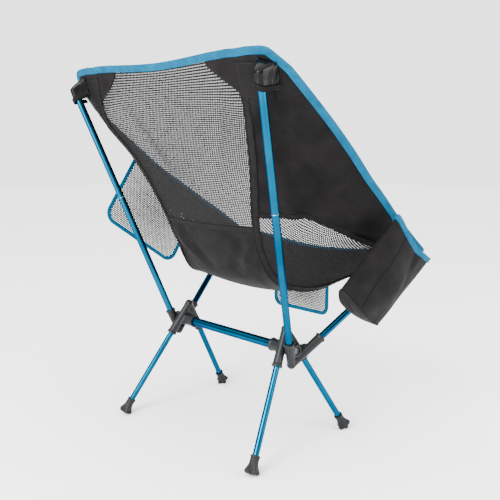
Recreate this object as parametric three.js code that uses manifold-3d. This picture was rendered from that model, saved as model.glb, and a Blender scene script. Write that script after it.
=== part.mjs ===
// Ultralight backpacking chair: two folding-pole sides, a crossbar and a sling hung on four pole tips.
// Millimetres, +Z up. The sitter faces -Y, so the sitter's left is +X. Feet stand on z = 0.
import * as THREE from 'three';
import { mergeVertices } from 'three/addons/utils/BufferGeometryUtils.js';
import Module from 'manifold-3d';

// ---- driving dimensions -------------------------------------------------------------------------
const POLE_R = 6.25;            // seat poles
const LEG_R = 5.5;
const CROSSBAR_R = 8.25;
const TUBE_WALL = 1.1;
const FIT_GAP = 0.3;            // between a tube and its socket
const SIDES_ROUND = 16;         // facets round a tube
const SIDES_SMALL = 12;         // facets round a cap, pin or pole pocket

const HUB_Z = 177;              // height of the crossbar axis
const SEAT_APEX = new THREE.Vector3(152.5, 3, 152);     // where a hub's two seat-pole axes meet
const LEG_APEX = new THREE.Vector3(130.5, -6, 208);     // where a hub's two leg axes meet
const BACK_TIP = new THREE.Vector3(238, 169, 623);
const FRONT_TIP = new THREE.Vector3(226, -218, 316);
const REAR_FOOT = new THREE.Vector3(176.5, 124, 4);
const FRONT_FOOT = new THREE.Vector3(168, -130.5, 4);

const SEAT_ARM_R = 8.75;        // hub sockets, outside
const LEG_ARM_R = 8.5;
const BACK_ARM = { end: 46, depth: 32 };      // socket mouth along the pole, and how deep the pole sits
const FRONT_ARM = { end: 72, depth: 34 };
const LEG_ARM = { end: 68, depth: 34 };
const BRACKET_SPLIT_X = 146.4;  // plane between a hub's seat bracket and its leg bracket
const BOSS_R = 11.5;
const COLLAR_END_X = 104;
const CROSSBAR_HALF = 128.5;
const PIN_R = 3.2;
const BACK_FOLD = 291;          // joint between a back pole's two sections, from the apex
const FERRULE_LENGTH = 60;

const FOOT_LENGTH = 30;
const HOOD_LENGTH = 38;         // pole pocket behind each sling corner
const HOOD_WALL = 2;
const CAP_R = 6.9;
const CORD_R = 1.3;

const CLOTH = 1.8;              // thickness of each sling panel solid
const WEBBING = 3;              // thickness of bindings and seam strips
const SEWN_GAP = 0.8;           // each panel stops this far short of its seam line
const BINDING_WIDTH = 12;
const STRIP_HALF = 7;

const SIDES = { left: 1, right: -1 };

// ---- materials ----------------------------------------------------------------------------------
const finish = (color, roughness, metalness) => new THREE.MeshStandardMaterial({ color, roughness, metalness });
const blueMetal = () => finish(0x00a9e0, 0.32, 0.9);
const darkPlastic = () => finish(0x33383b, 0.5, 0);
const rubber = () => finish(0x2b2d2f, 0.8, 0);
const blackCloth = () => finish(0x29272a, 0.9, 0);
const meshCloth = () => finish(0x77787a, 0.9, 0);
const blueTape = () => finish(0x0aa5d6, 0.8, 0);
const cordCover = () => finish(0x1c1c1e, 0.9, 0);
const steel = () => finish(0xb9bcc0, 0.35, 1);

// ---- scene helpers ------------------------------------------------------------------------------
const group = new THREE.Group();

function add(name, geometry, material) {
  const mesh = new THREE.Mesh(geometry, material);
  mesh.name = name;
  group.add(mesh);
  return mesh;
}

const onSide = (point, sign) => new THREE.Vector3(point.x * sign, point.y, point.z);

// A mesh modelled along +Y from its origin is laid on the line from start towards end.
function layAlong(mesh, start, end) {
  mesh.position.copy(start);
  const direction = end.clone().sub(start).normalize();
  mesh.quaternion.setFromUnitVectors(new THREE.Vector3(0, 1, 0), direction);
}

function pointAlong(start, end, distance) {
  return start.clone().add(end.clone().sub(start).setLength(distance));
}

function lathe(profile, sides = SIDES_ROUND) {
  return new THREE.LatheGeometry(profile.map(([r, y]) => new THREE.Vector2(r, y)), sides);
}

function tube(outer, inner, length) {
  return lathe([[inner, 0], [outer, 0], [outer, length], [inner, length], [inner, 0]]);
}

function rod(radius, length, sides = 8) {
  return new THREE.CylinderGeometry(radius, radius, length, sides).translate(0, length / 2, 0);
}

// ---- solid helpers ------------------------------------------------------------------------------
const wasm = await Module();
wasm.setup();

function toManifold(geometry) {
  const bare = geometry.clone();
  bare.deleteAttribute('normal');
  bare.deleteAttribute('uv');
  const merged = mergeVertices(bare, 1e-4);
  return new wasm.Manifold(new wasm.Mesh({
    numProp: 3,
    vertProperties: new Float32Array(merged.attributes.position.array),
    triVerts: new Uint32Array(merged.index.array),
  }));
}

function toGeometry(manifold) {
  const mesh = manifold.getMesh();
  const geometry = new THREE.BufferGeometry();
  geometry.setAttribute('position', new THREE.BufferAttribute(new Float32Array(mesh.vertProperties), 3));
  geometry.setIndex(new THREE.BufferAttribute(new Uint32Array(mesh.triVerts), 1));
  return geometry;
}

function rodBetween(start, end, radius, sides = SIDES_ROUND) {
  const geometry = rod(radius, start.distanceTo(end), sides);
  const direction = end.clone().sub(start).normalize();
  const turn = new THREE.Quaternion().setFromUnitVectors(new THREE.Vector3(0, 1, 0), direction);
  geometry.applyQuaternion(turn).translate(start.x, start.y, start.z);
  return toManifold(geometry);
}

function ball(centre, radius) {
  return toManifold(new THREE.SphereGeometry(radius, SIDES_ROUND, 8).translate(centre.x, centre.y, centre.z));
}

function box(low, high) {
  const size = high.clone().sub(low);
  const middle = low.clone().add(high).multiplyScalar(0.5);
  return toManifold(new THREE.BoxGeometry(size.x, size.y, size.z).translate(middle.x, middle.y, middle.z));
}

// A plate in the YZ plane, from x = low to x = high, with the given [y, z] corners.
function plate(corners, low, high) {
  const shape = new THREE.Shape(corners.map(([y, z]) => new THREE.Vector2(y, z)));
  const geometry = new THREE.ExtrudeGeometry(shape, { depth: high - low, bevelEnabled: false });
  const turn = new THREE.Matrix4().makeBasis(
    new THREE.Vector3(0, 1, 0), new THREE.Vector3(0, 0, 1), new THREE.Vector3(1, 0, 0));
  geometry.applyMatrix4(turn).translate(low, 0, 0);
  return toManifold(geometry);
}

// Every solid below is made for the left side; the right side is its mirror image in x.
function mirrored(geometry, sign) {
  if (sign > 0) return geometry;
  const copy = geometry.clone().scale(-1, 1, 1);
  const index = copy.index.array;
  for (let i = 0; i < index.length; i += 3) [index[i], index[i + 1]] = [index[i + 1], index[i]];
  return copy;
}

// Rings of equal length become one closed skin, fanned shut at both ends.
function loft(rings) {
  const count = rings[0].length;
  const positions = [];
  const faces = [];
  for (const ring of rings) for (const p of ring) positions.push(p.x, p.y, p.z);
  for (let r = 0; r + 1 < rings.length; r++) {
    for (let i = 0; i < count; i++) {
      const a = r * count + i;
      const b = r * count + (i + 1) % count;
      faces.push(a, b, b + count, a, b + count, a + count);
    }
  }
  const fan = (ring, start, flip) => {
    const centre = ring.reduce((sum, p) => sum.add(p), new THREE.Vector3()).divideScalar(count);
    const hub = positions.length / 3;
    positions.push(centre.x, centre.y, centre.z);
    for (let i = 0; i < count; i++) {
      const a = start + i;
      const b = start + (i + 1) % count;
      faces.push(...(flip ? [hub, b, a] : [hub, a, b]));
    }
  };
  fan(rings[0], 0, true);
  fan(rings.at(-1), (rings.length - 1) * count, false);
  const geometry = new THREE.BufferGeometry();
  geometry.setAttribute('position', new THREE.Float32BufferAttribute(positions, 3));
  geometry.setIndex(faces);
  return geometry;
}

// ---- hubs: a V bracket for the seat poles and an inverted V bracket for the legs ------------------
function bracket(apex, armEnds, armRadius, holeRadius, web, webX, boss) {
  let solid = ball(apex, armRadius).add(plate(web, webX[0], webX[1]));
  for (const { tip, end } of armEnds) solid = solid.add(rodBetween(apex, pointAlong(apex, tip, end), armRadius));
  for (const [low, high, radius] of boss) {
    const start = new THREE.Vector3(low, 0, HUB_Z);
    solid = solid.add(rodBetween(start, new THREE.Vector3(high, 0, HUB_Z), radius));
  }
  for (const { tip, end, depth } of armEnds) {
    const bottom = pointAlong(apex, tip, end - depth);
    solid = solid.subtract(rodBetween(bottom, pointAlong(apex, tip, end + 5), holeRadius));
  }
  return solid;
}

function seatBracket() {
  const arms = [{ tip: BACK_TIP, ...BACK_ARM }, { tip: FRONT_TIP, ...FRONT_ARM }];
  const back = pointAlong(SEAT_APEX, BACK_TIP, 36);
  const front = pointAlong(SEAT_APEX, FRONT_TIP, 52);
  const web = [[SEAT_APEX.y, SEAT_APEX.z], [front.y, front.z], [-6, HUB_Z + 7], [back.y, back.z]];
  let solid = bracket(SEAT_APEX, arms, SEAT_ARM_R, POLE_R + FIT_GAP, web, [148, 157], [[BRACKET_SPLIT_X + 0.3, 163, BOSS_R]]);
  const axis = (x) => new THREE.Vector3(x, 0, HUB_Z);
  solid = solid.subtract(rodBetween(axis(140), axis(170), PIN_R + FIT_GAP));
  return solid.subtract(rodBetween(axis(160), axis(170), PIN_R + 4));
}

function legBracket() {
  const arms = [{ tip: REAR_FOOT, ...LEG_ARM }, { tip: FRONT_FOOT, ...LEG_ARM }];
  const rear = pointAlong(LEG_APEX, REAR_FOOT, 46);
  const front = pointAlong(LEG_APEX, FRONT_FOOT, 46);
  const web = [[LEG_APEX.y, LEG_APEX.z], [front.y, front.z], [-2, HUB_Z - 12], [rear.y, rear.z]];
  const boss = [[COLLAR_END_X, BRACKET_SPLIT_X - 0.3, BOSS_R]];
  let solid = bracket(LEG_APEX, arms, LEG_ARM_R, LEG_R + FIT_GAP, web, [126, 137], boss);
  const axis = (x) => new THREE.Vector3(x, 0, HUB_Z);
  solid = solid.subtract(rodBetween(axis(COLLAR_END_X - 5), axis(CROSSBAR_HALF + 0.6), CROSSBAR_R + FIT_GAP));
  return solid.subtract(rodBetween(axis(120), axis(150), PIN_R + FIT_GAP));
}

function pivotPin() {
  const axis = (x) => new THREE.Vector3(x, 0, HUB_Z);
  const shank = rodBetween(axis(CROSSBAR_HALF + 2), axis(162.6), PIN_R, SIDES_SMALL);
  return shank.add(rodBetween(axis(160.4), axis(162.6), PIN_R + 3, SIDES_SMALL));
}

// ---- feet: a sleeve that flares into a five-lobed pad, worn flat where it stands -------------------
const FOOT_LOBES = 5;
const FOOT_FACETS = 30;
const FOOT_PROFILE = [[0, 7.8, 0], [14, 7.8, 0.04], [21, 9.4, 0.16], [26, 11.2, 0.2], [29, 9.6, 0.16], [30, 6, 0]];

function foot(apex, floorPoint) {
  const down = floorPoint.clone().sub(apex).normalize();
  const across = new THREE.Vector3(1, 0, 0).cross(down).normalize();
  const aside = down.clone().cross(across);
  const top = floorPoint.clone().addScaledVector(down, -FOOT_LENGTH);
  const rings = FOOT_PROFILE.map(([distance, radius, lobe]) => Array.from({ length: FOOT_FACETS }, (_, i) => {
    const angle = i / FOOT_FACETS * Math.PI * 2;
    const r = radius * (1 + lobe * Math.cos(FOOT_LOBES * angle));
    return top.clone().addScaledVector(down, distance)
      .addScaledVector(across, r * Math.cos(angle)).addScaledVector(aside, r * Math.sin(angle));
  }));
  const hole = rodBetween(top.clone().addScaledVector(down, -5), top.clone().addScaledVector(down, 16), LEG_R + FIT_GAP);
  const floor = box(new THREE.Vector3(-400, -400, -60), new THREE.Vector3(400, 400, 0));
  return toGeometry(toManifold(loft(rings)).subtract(hole).subtract(floor));
}

function buildLeg(name, side, sign, floorPoint) {
  const apex = onSide(LEG_APEX, sign);
  const ground = onSide(floorPoint, sign);
  const socketFloor = LEG_ARM.end - LEG_ARM.depth + 0.6;
  const start = pointAlong(apex, ground, socketFloor);
  const end = pointAlong(apex, ground, apex.distanceTo(ground) - FOOT_LENGTH + 15.4);
  layAlong(add(`leg_${name}_${side}`, tube(LEG_R, LEG_R - TUBE_WALL, start.distanceTo(end)), blueMetal()), start, end);
  add(`foot_${name}_${side}`, mirrored(foot(LEG_APEX, floorPoint), sign), rubber());
  layAlong(add(`leg_cord_${name}_${side}`, rod(CORD_R, start.distanceTo(end) - 2), cordCover()), start, end);
}

// ---- seat poles, their end caps and their cords ----------------------------------------------------
function endCap() {
  const stem = POLE_R - TUBE_WALL - FIT_GAP;
  return lathe([[0, -12], [stem, -12], [stem, FIT_GAP], [CAP_R, FIT_GAP], [CAP_R, 6], [CAP_R - 2, 9], [0, 9.5]], SIDES_SMALL);
}

function buildSeatPole(name, side, sign, tip, arm, fold) {
  const apex = onSide(SEAT_APEX, sign);
  const end = onSide(tip, sign);
  const socketFloor = arm.end - arm.depth + 0.6;
  const total = apex.distanceTo(end) - 10;
  const at = (distance) => pointAlong(apex, end, distance);
  const section = (label, from, to) => {
    const mesh = add(label, tube(POLE_R, POLE_R - TUBE_WALL, to - from), blueMetal());
    layAlong(mesh, at(from), at(to));
  };
  if (fold) {
    section(`${name}_pole_lower_${side}`, socketFloor, fold);
    section(`${name}_pole_upper_${side}`, fold + 0.4, total);
    const outer = POLE_R - TUBE_WALL - FIT_GAP;
    const ferrule = add(`${name}_pole_ferrule_${side}`, tube(outer, outer - 0.9, FERRULE_LENGTH), steel());
    layAlong(ferrule, at(fold - FERRULE_LENGTH / 2), end);
  } else {
    section(`${name}_pole_${side}`, socketFloor, total);
  }
  layAlong(add(`${name}_pole_end_cap_${side}`, endCap(), darkPlastic()), at(total), end);
  const cord = add(`${name}_pole_cord_${side}`, rod(CORD_R, total - socketFloor - 16), cordCover());
  layAlong(cord, at(socketFloor + 1), end);
  // The pole pocket is a cup that slips off the capped tip along the pole.
  const inner = CAP_R + 0.5;
  const outer = inner + HOOD_WALL;
  const hood = lathe([[inner, 0], [outer, 0], [outer, HOOD_LENGTH + 3], [0, HOOD_LENGTH + 3],
    [0, HOOD_LENGTH], [inner, HOOD_LENGTH], [inner, 0]], SIDES_SMALL);
  layAlong(add(`pole_pocket_${name}_${side}`, hood, blackCloth()), at(total + 10.5 - HOOD_LENGTH), end);
}

// ---- sling surface -------------------------------------------------------------------------------
// Ten stations run from the top edge, down the back, under the seat and up to the front edge. At each,
// the surface passes through a point on the centre line, on the side seam and on the outer edge.
const CENTRE_LINE = [
  [0, 158, 643], [0, 138, 590], [0, 99, 490], [0, 57, 382], [0, 31, 323],
  [0, -2, 281], [0, -60, 254], [0, -140, 261], [0, -215, 290], [0, -262, 307],
];
const SEAM_LINE = [
  [216, 163, 655], [194, 146, 580], [150, 93, 487], [116, 53, 385], [111, 32, 330],
  [120, 0, 287], [146, -60, 272], [186, -145, 297], [219, -215, 331], [234, -256, 334],
];
const EDGE_LINE = [
  [261, 149, 640], [274, 112, 602], [277, 60, 560], [275.5, 5, 516], [270, -50, 472],
  [263, -100, 438], [255, -150, 403], [249, -200, 370], [247, -240, 342], [249, -264, 324],
];
const STATIONS = CENTRE_LINE.length - 1;
const curve = (points) => new THREE.CatmullRomCurve3(points.map((p) => new THREE.Vector3(...p)));
const centreCurve = curve(CENTRE_LINE);
const seamCurve = curve(SEAM_LINE);
const edgeCurve = curve(EDGE_LINE);

// column runs from 0 at the centre line through 1 at the seam to 2 at the outer edge, negative on the right.
function slingPoint(station, column) {
  const t = station / STATIONS;
  const seam = seamCurve.getPoint(t);
  const side = Math.sign(column) || 1;
  const across = Math.abs(column);
  if (across <= 1) {
    const centre = centreCurve.getPoint(t);
    const rise = across * across;
    return new THREE.Vector3(seam.x * column, centre.y + (seam.y - centre.y) * rise, centre.z + (seam.z - centre.z) * rise);
  }
  const point = seam.lerp(edgeCurve.getPoint(t), across - 1);
  return point.setX(point.x * side);
}

// Column values at one station: the seam strip and the binding keep their width as the panels taper.
const SIDE_SPLITS = 5;
const PATCH_COLUMN = 0.62;      // corner patches start this far out
function columnsAt(station) {
  const t = station / STATIONS;
  const seam = seamCurve.getPoint(t);
  const width = seam.distanceTo(edgeCurve.getPoint(t));
  const stripInner = 1 - STRIP_HALF / seam.x;
  const stripOuter = 1 + Math.min(0.35, STRIP_HALF / width);
  const bindingInner = 2 - Math.min(0.35, BINDING_WIDTH / width);
  const half = [PATCH_COLUMN / 2, PATCH_COLUMN, stripInner, stripOuter];
  for (let k = 1; k <= SIDE_SPLITS; k++) half.push(stripOuter + (bindingInner - stripOuter) * k / SIDE_SPLITS);
  half.push(2);
  return [...half.map((c) => -c).reverse(), 0, ...half];
}
const TOP_BINDING_END = 0.2;
const FRONT_BINDING_START = 8.76;
const PATCH_END = 1;            // station where the back corner patches end
const PATCH_START = 8;          // station where the front corner patches start
const MESH_END = 3;             // station of the hem below the back mesh
const STATION_LIST = [0, TOP_BINDING_END, 0.6, PATCH_END, 1.5, 2, 2.5, MESH_END, 3.5, 4, 4.5, 5, 5.5, 6, 6.5, 7,
  7.5, PATCH_START, 8.4, FRONT_BINDING_START, STATIONS];

const grid = STATION_LIST.map((station) => columnsAt(station).map((column) => slingPoint(station, column)));
const rowCount = grid.length - 1;
const columnCount = grid[0].length - 1;

const normals = grid.map((row, i) => row.map((_, j) => {
  const along = grid[Math.min(i + 1, rowCount)][j].clone().sub(grid[Math.max(i - 1, 0)][j]);
  const across = grid[i][Math.min(j + 1, columnCount)].clone().sub(grid[i][Math.max(j - 1, 0)]);
  return across.cross(along).normalize();
}));

function panelOf(i, j) {
  const middle = columnCount / 2;
  const side = j >= middle ? 'left' : 'right';
  const out = j >= middle ? j - middle : middle - 1 - j;      // 0 beside the centre line, 9 at the outer edge
  const station = STATION_LIST[i];
  if (station < PATCH_END && out >= 2) return `corner_patch_back_${side}`;
  if (station >= PATCH_START && out >= 2) return `corner_patch_front_${side}`;
  if (station < TOP_BINDING_END) return 'top_binding';
  if (station >= FRONT_BINDING_START) return 'front_binding';
  if (out === SIDE_SPLITS + 4) return `side_binding_${side}`;
  if (out === 3) return `seam_strip_${side}`;
  if (out < 3) return station < MESH_END ? 'back_mesh_panel' : 'seat_panel';
  return station >= MESH_END && out < 6 ? `lower_side_mesh_${side}` : `side_panel_${side}`;
}

// One closed shell from the grid cells of a panel, stopping short of its seams.
function shell(cells, thickness) {
  const has = new Set(cells.map(([i, j]) => `${i},${j}`));
  const inset = (i, j) => {
    const near = [[i - 1, j - 1], [i - 1, j], [i, j - 1], [i, j]].filter(([a, b]) => has.has(`${a},${b}`));
    const point = grid[i][j].clone();
    if (near.length === 4) return point;
    const middle = new THREE.Vector3();
    for (const [a, b] of near) {
      for (const corner of [grid[a][b], grid[a][b + 1], grid[a + 1][b], grid[a + 1][b + 1]]) middle.add(corner);
    }
    middle.divideScalar(4 * near.length);
    const step = near.length === 1 ? SEWN_GAP * Math.SQRT2 : SEWN_GAP;
    return point.add(middle.sub(point).setLength(step));
  };
  const ids = new Map();
  const positions = [];
  const vertex = (i, j, upper) => {
    const key = `${i},${j},${upper}`;
    if (!ids.has(key)) {
      ids.set(key, ids.size);
      const p = inset(i, j).addScaledVector(normals[i][j], (upper ? 0.5 : -0.5) * thickness);
      positions.push(p.x, p.y, p.z);
    }
    return ids.get(key);
  };
  const faces = [];
  const quad = (a, b, c, d) => faces.push(a, b, c, a, c, d);
  for (const [i, j] of cells) {
    const ring = [[i, j], [i + 1, j], [i + 1, j + 1], [i, j + 1]];
    const neighbours = [[i, j - 1], [i + 1, j], [i, j + 1], [i - 1, j]];
    const top = ring.map(([a, b]) => vertex(a, b, true));
    const bottom = ring.map(([a, b]) => vertex(a, b, false));
    quad(top[3], top[2], top[1], top[0]);
    quad(bottom[1], bottom[2], bottom[3], bottom[0]);
    for (let k = 0; k < 4; k++) {
      const next = (k + 1) % 4;
      if (!has.has(neighbours[k].join(','))) quad(top[k], top[next], bottom[next], bottom[k]);
    }
  }
  const geometry = new THREE.BufferGeometry();
  geometry.setAttribute('position', new THREE.Float32BufferAttribute(positions, 3));
  geometry.setIndex(faces);
  return geometry;
}

function buildSling() {
  const panels = new Map();
  for (let i = 0; i < rowCount; i++) {
    for (let j = 0; j < columnCount; j++) {
      const name = panelOf(i, j);
      if (!panels.has(name)) panels.set(name, []);
      panels.get(name).push([i, j]);
    }
  }
  for (const [name, cells] of panels) {
    const tape = name.includes('binding');
    const material = tape ? blueTape() : name.includes('mesh') ? meshCloth() : blackCloth();
    add(name, shell(cells, tape || name.includes('strip') ? WEBBING : CLOTH), material);
  }
}

// ---- pockets -------------------------------------------------------------------------------------
// The bottle pocket hangs square to the right edge: an open-topped bag with an oval floor.
const BOTTLE_MOUTH = new THREE.Vector3(-271, -180, 365);
const BOTTLE_FLOOR = new THREE.Vector3(-257, -34, 256);
const EDGE_DIRECTION = new THREE.Vector3(0.06, -0.8, -0.597).normalize();
const BOTTLE_WALL = 2;
const PANEL_GAP = 0.3;          // between the bag's two panels
const BOTTLE_SIDES = 24;
const BOTTLE_MOUTH_HALF = 74;
const BOTTLE_TAPER = 10;        // how much narrower each half is at the floor
const BOTTLE_HALF_DEPTH = 13;
const BOTTLE_BULGE = 9;         // how much each half swells on the way down
const BOTTLE_FLOOR_LEVEL = 0.985;
const MESH_POCKET_TOP = new THREE.Vector3(273, -73, 457);
const MESH_POCKET_FORWARD = new THREE.Vector3(-0.1, -0.8, -0.59);
const MESH_POCKET_DROP = 4;     // below the binding
const MESH_POCKET_SHIFT = 6;
const MESH_POCKET = [190, 160, 24];      // width, height and corner radius
const UNDER_POCKET = [146, 99, 18];
const UNDER_POCKET_TOP = new THREE.Vector3(8, -204, 281);
const POCKET_CLOTH = 3;         // two mesh layers lying together

// Its inner and outer panels meet along a seam up each end and under the floor.
function bottlePocketPanels() {
  const depth = BOTTLE_FLOOR.clone().sub(BOTTLE_MOUTH);
  const inward = EDGE_DIRECTION.clone().cross(depth).normalize();
  const ring = (k, wall) => {
    const halfWidth = BOTTLE_MOUTH_HALF - BOTTLE_TAPER * k - wall;
    const swell = Math.sin(Math.PI * (0.15 + 0.55 * k));
    const halfDepth = BOTTLE_HALF_DEPTH + BOTTLE_BULGE * swell - wall;
    return Array.from({ length: BOTTLE_SIDES }, (_, i) => {
      const angle = i / BOTTLE_SIDES * Math.PI * 2;
      return BOTTLE_MOUTH.clone().addScaledVector(depth, k)
        .addScaledVector(EDGE_DIRECTION, halfWidth * Math.cos(angle))
        .addScaledVector(inward, -halfDepth * Math.sin(angle));
    });
  };
  const levels = [0, 0.25, 0.5, 0.75, 1];
  const outer = toManifold(loft(levels.map((k) => ring(k, 0))));
  const hollow = [-0.05, ...levels.slice(1, -1), BOTTLE_FLOOR_LEVEL];
  const inner = toManifold(loft(hollow.map((k) => ring(k, BOTTLE_WALL))));
  const bag = outer.subtract(inner);
  const middle = BOTTLE_MOUTH.dot(inward);
  const outward = inward.clone().negate();
  return {
    inner: toGeometry(bag.trimByPlane(inward.toArray(), middle + PANEL_GAP / 2)),
    outer: toGeometry(bag.trimByPlane(outward.toArray(), PANEL_GAP / 2 - middle)),
  };
}

// A flat pocket of two mesh layers lying together, with round lower corners.
function flatPocket(width, height, radius, thickness) {
  const shape = new THREE.Shape();
  shape.moveTo(-width / 2, 0);
  shape.lineTo(-width / 2, -height + radius);
  shape.absarc(-width / 2 + radius, -height + radius, radius, Math.PI, 1.5 * Math.PI, false);
  shape.absarc(width / 2 - radius, -height + radius, radius, 1.5 * Math.PI, 2 * Math.PI, false);
  shape.lineTo(width / 2, 0);
  return new THREE.ExtrudeGeometry(shape, { depth: thickness, bevelEnabled: false, curveSegments: 5 })
    .translate(0, 0, -thickness / 2);
}

function buildPockets() {
  for (const [panel, shape] of Object.entries(bottlePocketPanels())) {
    add(`bottle_pocket_${panel}`, shape, blackCloth());
  }
  // The mesh pocket hangs square to the left edge: its own +X runs forward along it and its +Y runs up.
  const forward = MESH_POCKET_FORWARD.clone().normalize();
  const up = new THREE.Vector3(0.08, -0.6, 0.8).projectOnPlane(forward).normalize();
  const side = add('mesh_side_pocket', flatPocket(...MESH_POCKET, POCKET_CLOTH), meshCloth());
  side.quaternion.setFromRotationMatrix(new THREE.Matrix4().makeBasis(forward, up, forward.clone().cross(up)));
  side.position.copy(MESH_POCKET_TOP).addScaledVector(up, -MESH_POCKET_DROP)
    .addScaledVector(forward, MESH_POCKET_SHIFT);
  const under = add('under_seat_mesh_pocket', flatPocket(...UNDER_POCKET, POCKET_CLOTH), meshCloth());
  under.rotation.x = Math.PI / 2;
  under.position.copy(UNDER_POCKET_TOP);
}

// ---- assembly ------------------------------------------------------------------------------------
add('crossbar', tube(CROSSBAR_R, CROSSBAR_R - 1.3, 2 * CROSSBAR_HALF), blueMetal());
layAlong(group.children[0], new THREE.Vector3(-CROSSBAR_HALF, 0, HUB_Z), new THREE.Vector3(0, 0, HUB_Z));
add('crossbar_cord', rod(CORD_R, 2 * CROSSBAR_HALF - 4), cordCover());
layAlong(group.children[1], new THREE.Vector3(2 - CROSSBAR_HALF, 0, HUB_Z), new THREE.Vector3(0, 0, HUB_Z));

const seatBracketShape = toGeometry(seatBracket());
const legBracketShape = toGeometry(legBracket());
const pinShape = toGeometry(pivotPin());
for (const [side, sign] of Object.entries(SIDES)) {
  add(`hub_seat_bracket_${side}`, mirrored(seatBracketShape, sign), darkPlastic());
  add(`hub_leg_bracket_${side}`, mirrored(legBracketShape, sign), darkPlastic());
  add(`hub_pivot_pin_${side}`, mirrored(pinShape, sign), steel());
  buildLeg('rear', side, sign, REAR_FOOT);
  buildLeg('front', side, sign, FRONT_FOOT);
  buildSeatPole('back', side, sign, BACK_TIP, BACK_ARM, BACK_FOLD);
  buildSeatPole('front', side, sign, FRONT_TIP, FRONT_ARM, 0);
}
buildSling();
buildPockets();

// The origin is the middle of the chair's footprint box, on the floor.
group.updateMatrixWorld(true);
const bounds = new THREE.Box3().setFromObject(group, true);
group.position.set(-(bounds.min.x + bounds.max.x) / 2, -(bounds.min.y + bounds.max.y) / 2, 0);

export default group;
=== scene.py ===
import math

import bpy
import numpy as np
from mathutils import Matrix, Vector
from mathutils.kdtree import KDTree


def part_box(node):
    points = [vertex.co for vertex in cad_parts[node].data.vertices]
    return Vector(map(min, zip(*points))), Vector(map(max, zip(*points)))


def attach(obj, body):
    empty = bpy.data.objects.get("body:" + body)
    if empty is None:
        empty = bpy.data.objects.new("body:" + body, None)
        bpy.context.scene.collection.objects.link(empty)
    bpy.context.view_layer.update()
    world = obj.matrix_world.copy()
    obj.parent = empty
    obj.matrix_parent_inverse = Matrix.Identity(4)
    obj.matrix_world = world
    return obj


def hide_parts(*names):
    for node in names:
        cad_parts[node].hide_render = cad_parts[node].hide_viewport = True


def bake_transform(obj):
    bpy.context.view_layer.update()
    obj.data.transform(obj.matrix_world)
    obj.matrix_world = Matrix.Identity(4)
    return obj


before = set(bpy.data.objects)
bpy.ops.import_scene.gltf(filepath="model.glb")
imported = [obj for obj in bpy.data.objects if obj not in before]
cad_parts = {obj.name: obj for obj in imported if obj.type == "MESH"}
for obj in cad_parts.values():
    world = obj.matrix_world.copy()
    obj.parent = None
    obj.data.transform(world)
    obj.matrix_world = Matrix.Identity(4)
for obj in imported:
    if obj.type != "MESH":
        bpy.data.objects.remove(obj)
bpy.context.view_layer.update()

MM = 0.001
TINY = 0.00001          # stands for zero where a radius or a chamfer must not vanish
X_AXIS = np.array([1.0, 0.0, 0.0])

# ---- the frame's own points ----------------------------------------------------------------------
# The crossbar's axis is the line x-wards through the middle of its box: every point below is
# measured from there on the floor.
bar_low, bar_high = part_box("crossbar")
ORIGIN = np.array([(bar_low.x + bar_high.x) / 2, (bar_low.y + bar_high.y) / 2, 0.0])
HUB_Z = (bar_low.z + bar_high.z) / 2

POLE_R, LEG_R, CROSSBAR_R = 0.00625, 0.0055, 0.00825
# Points of the left side: where the tubes' axes meet in the hub, and where each of them ends.
SEAT_APEX = (0.1525, 0.003, 0.152)
LEG_APEX = (0.1305, -0.006, 0.208)
BACK_TIP = (0.238, 0.169, 0.623)
FRONT_TIP = (0.226, -0.218, 0.316)
REAR_FOOT = (0.1765, 0.124, 0.004)
FRONT_FOOT = (0.168, -0.1305, 0.004)
BACK_FOLD = 0.291       # from the apex to the joint between a back pole's two sections
SIDES = {"left": 1, "right": -1}


def unit(v):
    v = np.asarray(v, float)
    return v / np.linalg.norm(v, axis=-1, keepdims=True)


def place(point, sign=1):
    """A point of the left side, measured from the crossbar, as a point of the row frame."""
    return np.array([point[0] * sign, point[1], point[2]]) + ORIGIN


def turns(count):
    """Evenly spaced angles round a whole turn."""
    return np.arange(count) / count * 2 * math.pi


# ---- mesh helpers --------------------------------------------------------------------------------
def make(name, verts, faces, materials, uv=None, face_material=None, sharp=None):
    mesh = bpy.data.meshes.new(name)
    mesh.from_pydata([tuple(v) for v in np.asarray(verts, float)], [], [tuple(f) for f in faces])
    for m in materials:
        mesh.materials.append(m)
    mesh.polygons.foreach_set("use_smooth", [True] * len(mesh.polygons))
    if face_material is not None:
        mesh.polygons.foreach_set("material_index", list(face_material))
    if uv is not None:
        layer = mesh.uv_layers.new(name="Cloth")
        index = np.zeros(len(mesh.loops), np.int32)
        mesh.loops.foreach_get("vertex_index", index)
        layer.data.foreach_set("uv", np.asarray(uv, np.float32)[index].ravel())
    if sharp is not None:
        mesh.set_sharp_from_angle(angle=math.radians(sharp))
    mesh.update()
    piece = bpy.data.objects.new(name, mesh)
    bpy.context.scene.collection.objects.link(piece)
    return piece


def grid_faces(rows, cols, closed=False, start=0):
    faces = []
    for i in range(rows - 1):
        for j in range(cols if closed else cols - 1):
            k = (j + 1) % cols
            a, b = start + i * cols + j, start + i * cols + k
            faces.append((a, b, b + cols, a + cols))
    return faces


def thicken(points, normals, faces, thickness):
    """A closed shell round the middle surface: its two skins and a rim along every free edge."""
    n = len(points)
    verts = np.concatenate([points + normals * thickness / 2, points - normals * thickness / 2])
    edges = {(f[k], f[(k + 1) % len(f)]) for f in faces for k in range(len(f))}
    rim = [(b, a, a + n, b + n) for a, b in edges if (b, a) not in edges]
    under = [tuple(v + n for v in reversed(f)) for f in faces]
    return verts, list(faces) + under + sorted(rim)


def lengths(points, axis):
    """Distance along one axis of a grid of points, from its first row or column."""
    step = np.linalg.norm(np.diff(points, axis=axis), axis=-1)
    start = np.zeros_like(np.take(step, [0], axis=axis))
    return np.concatenate([start, np.cumsum(step, axis=axis)], axis=axis)


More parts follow.
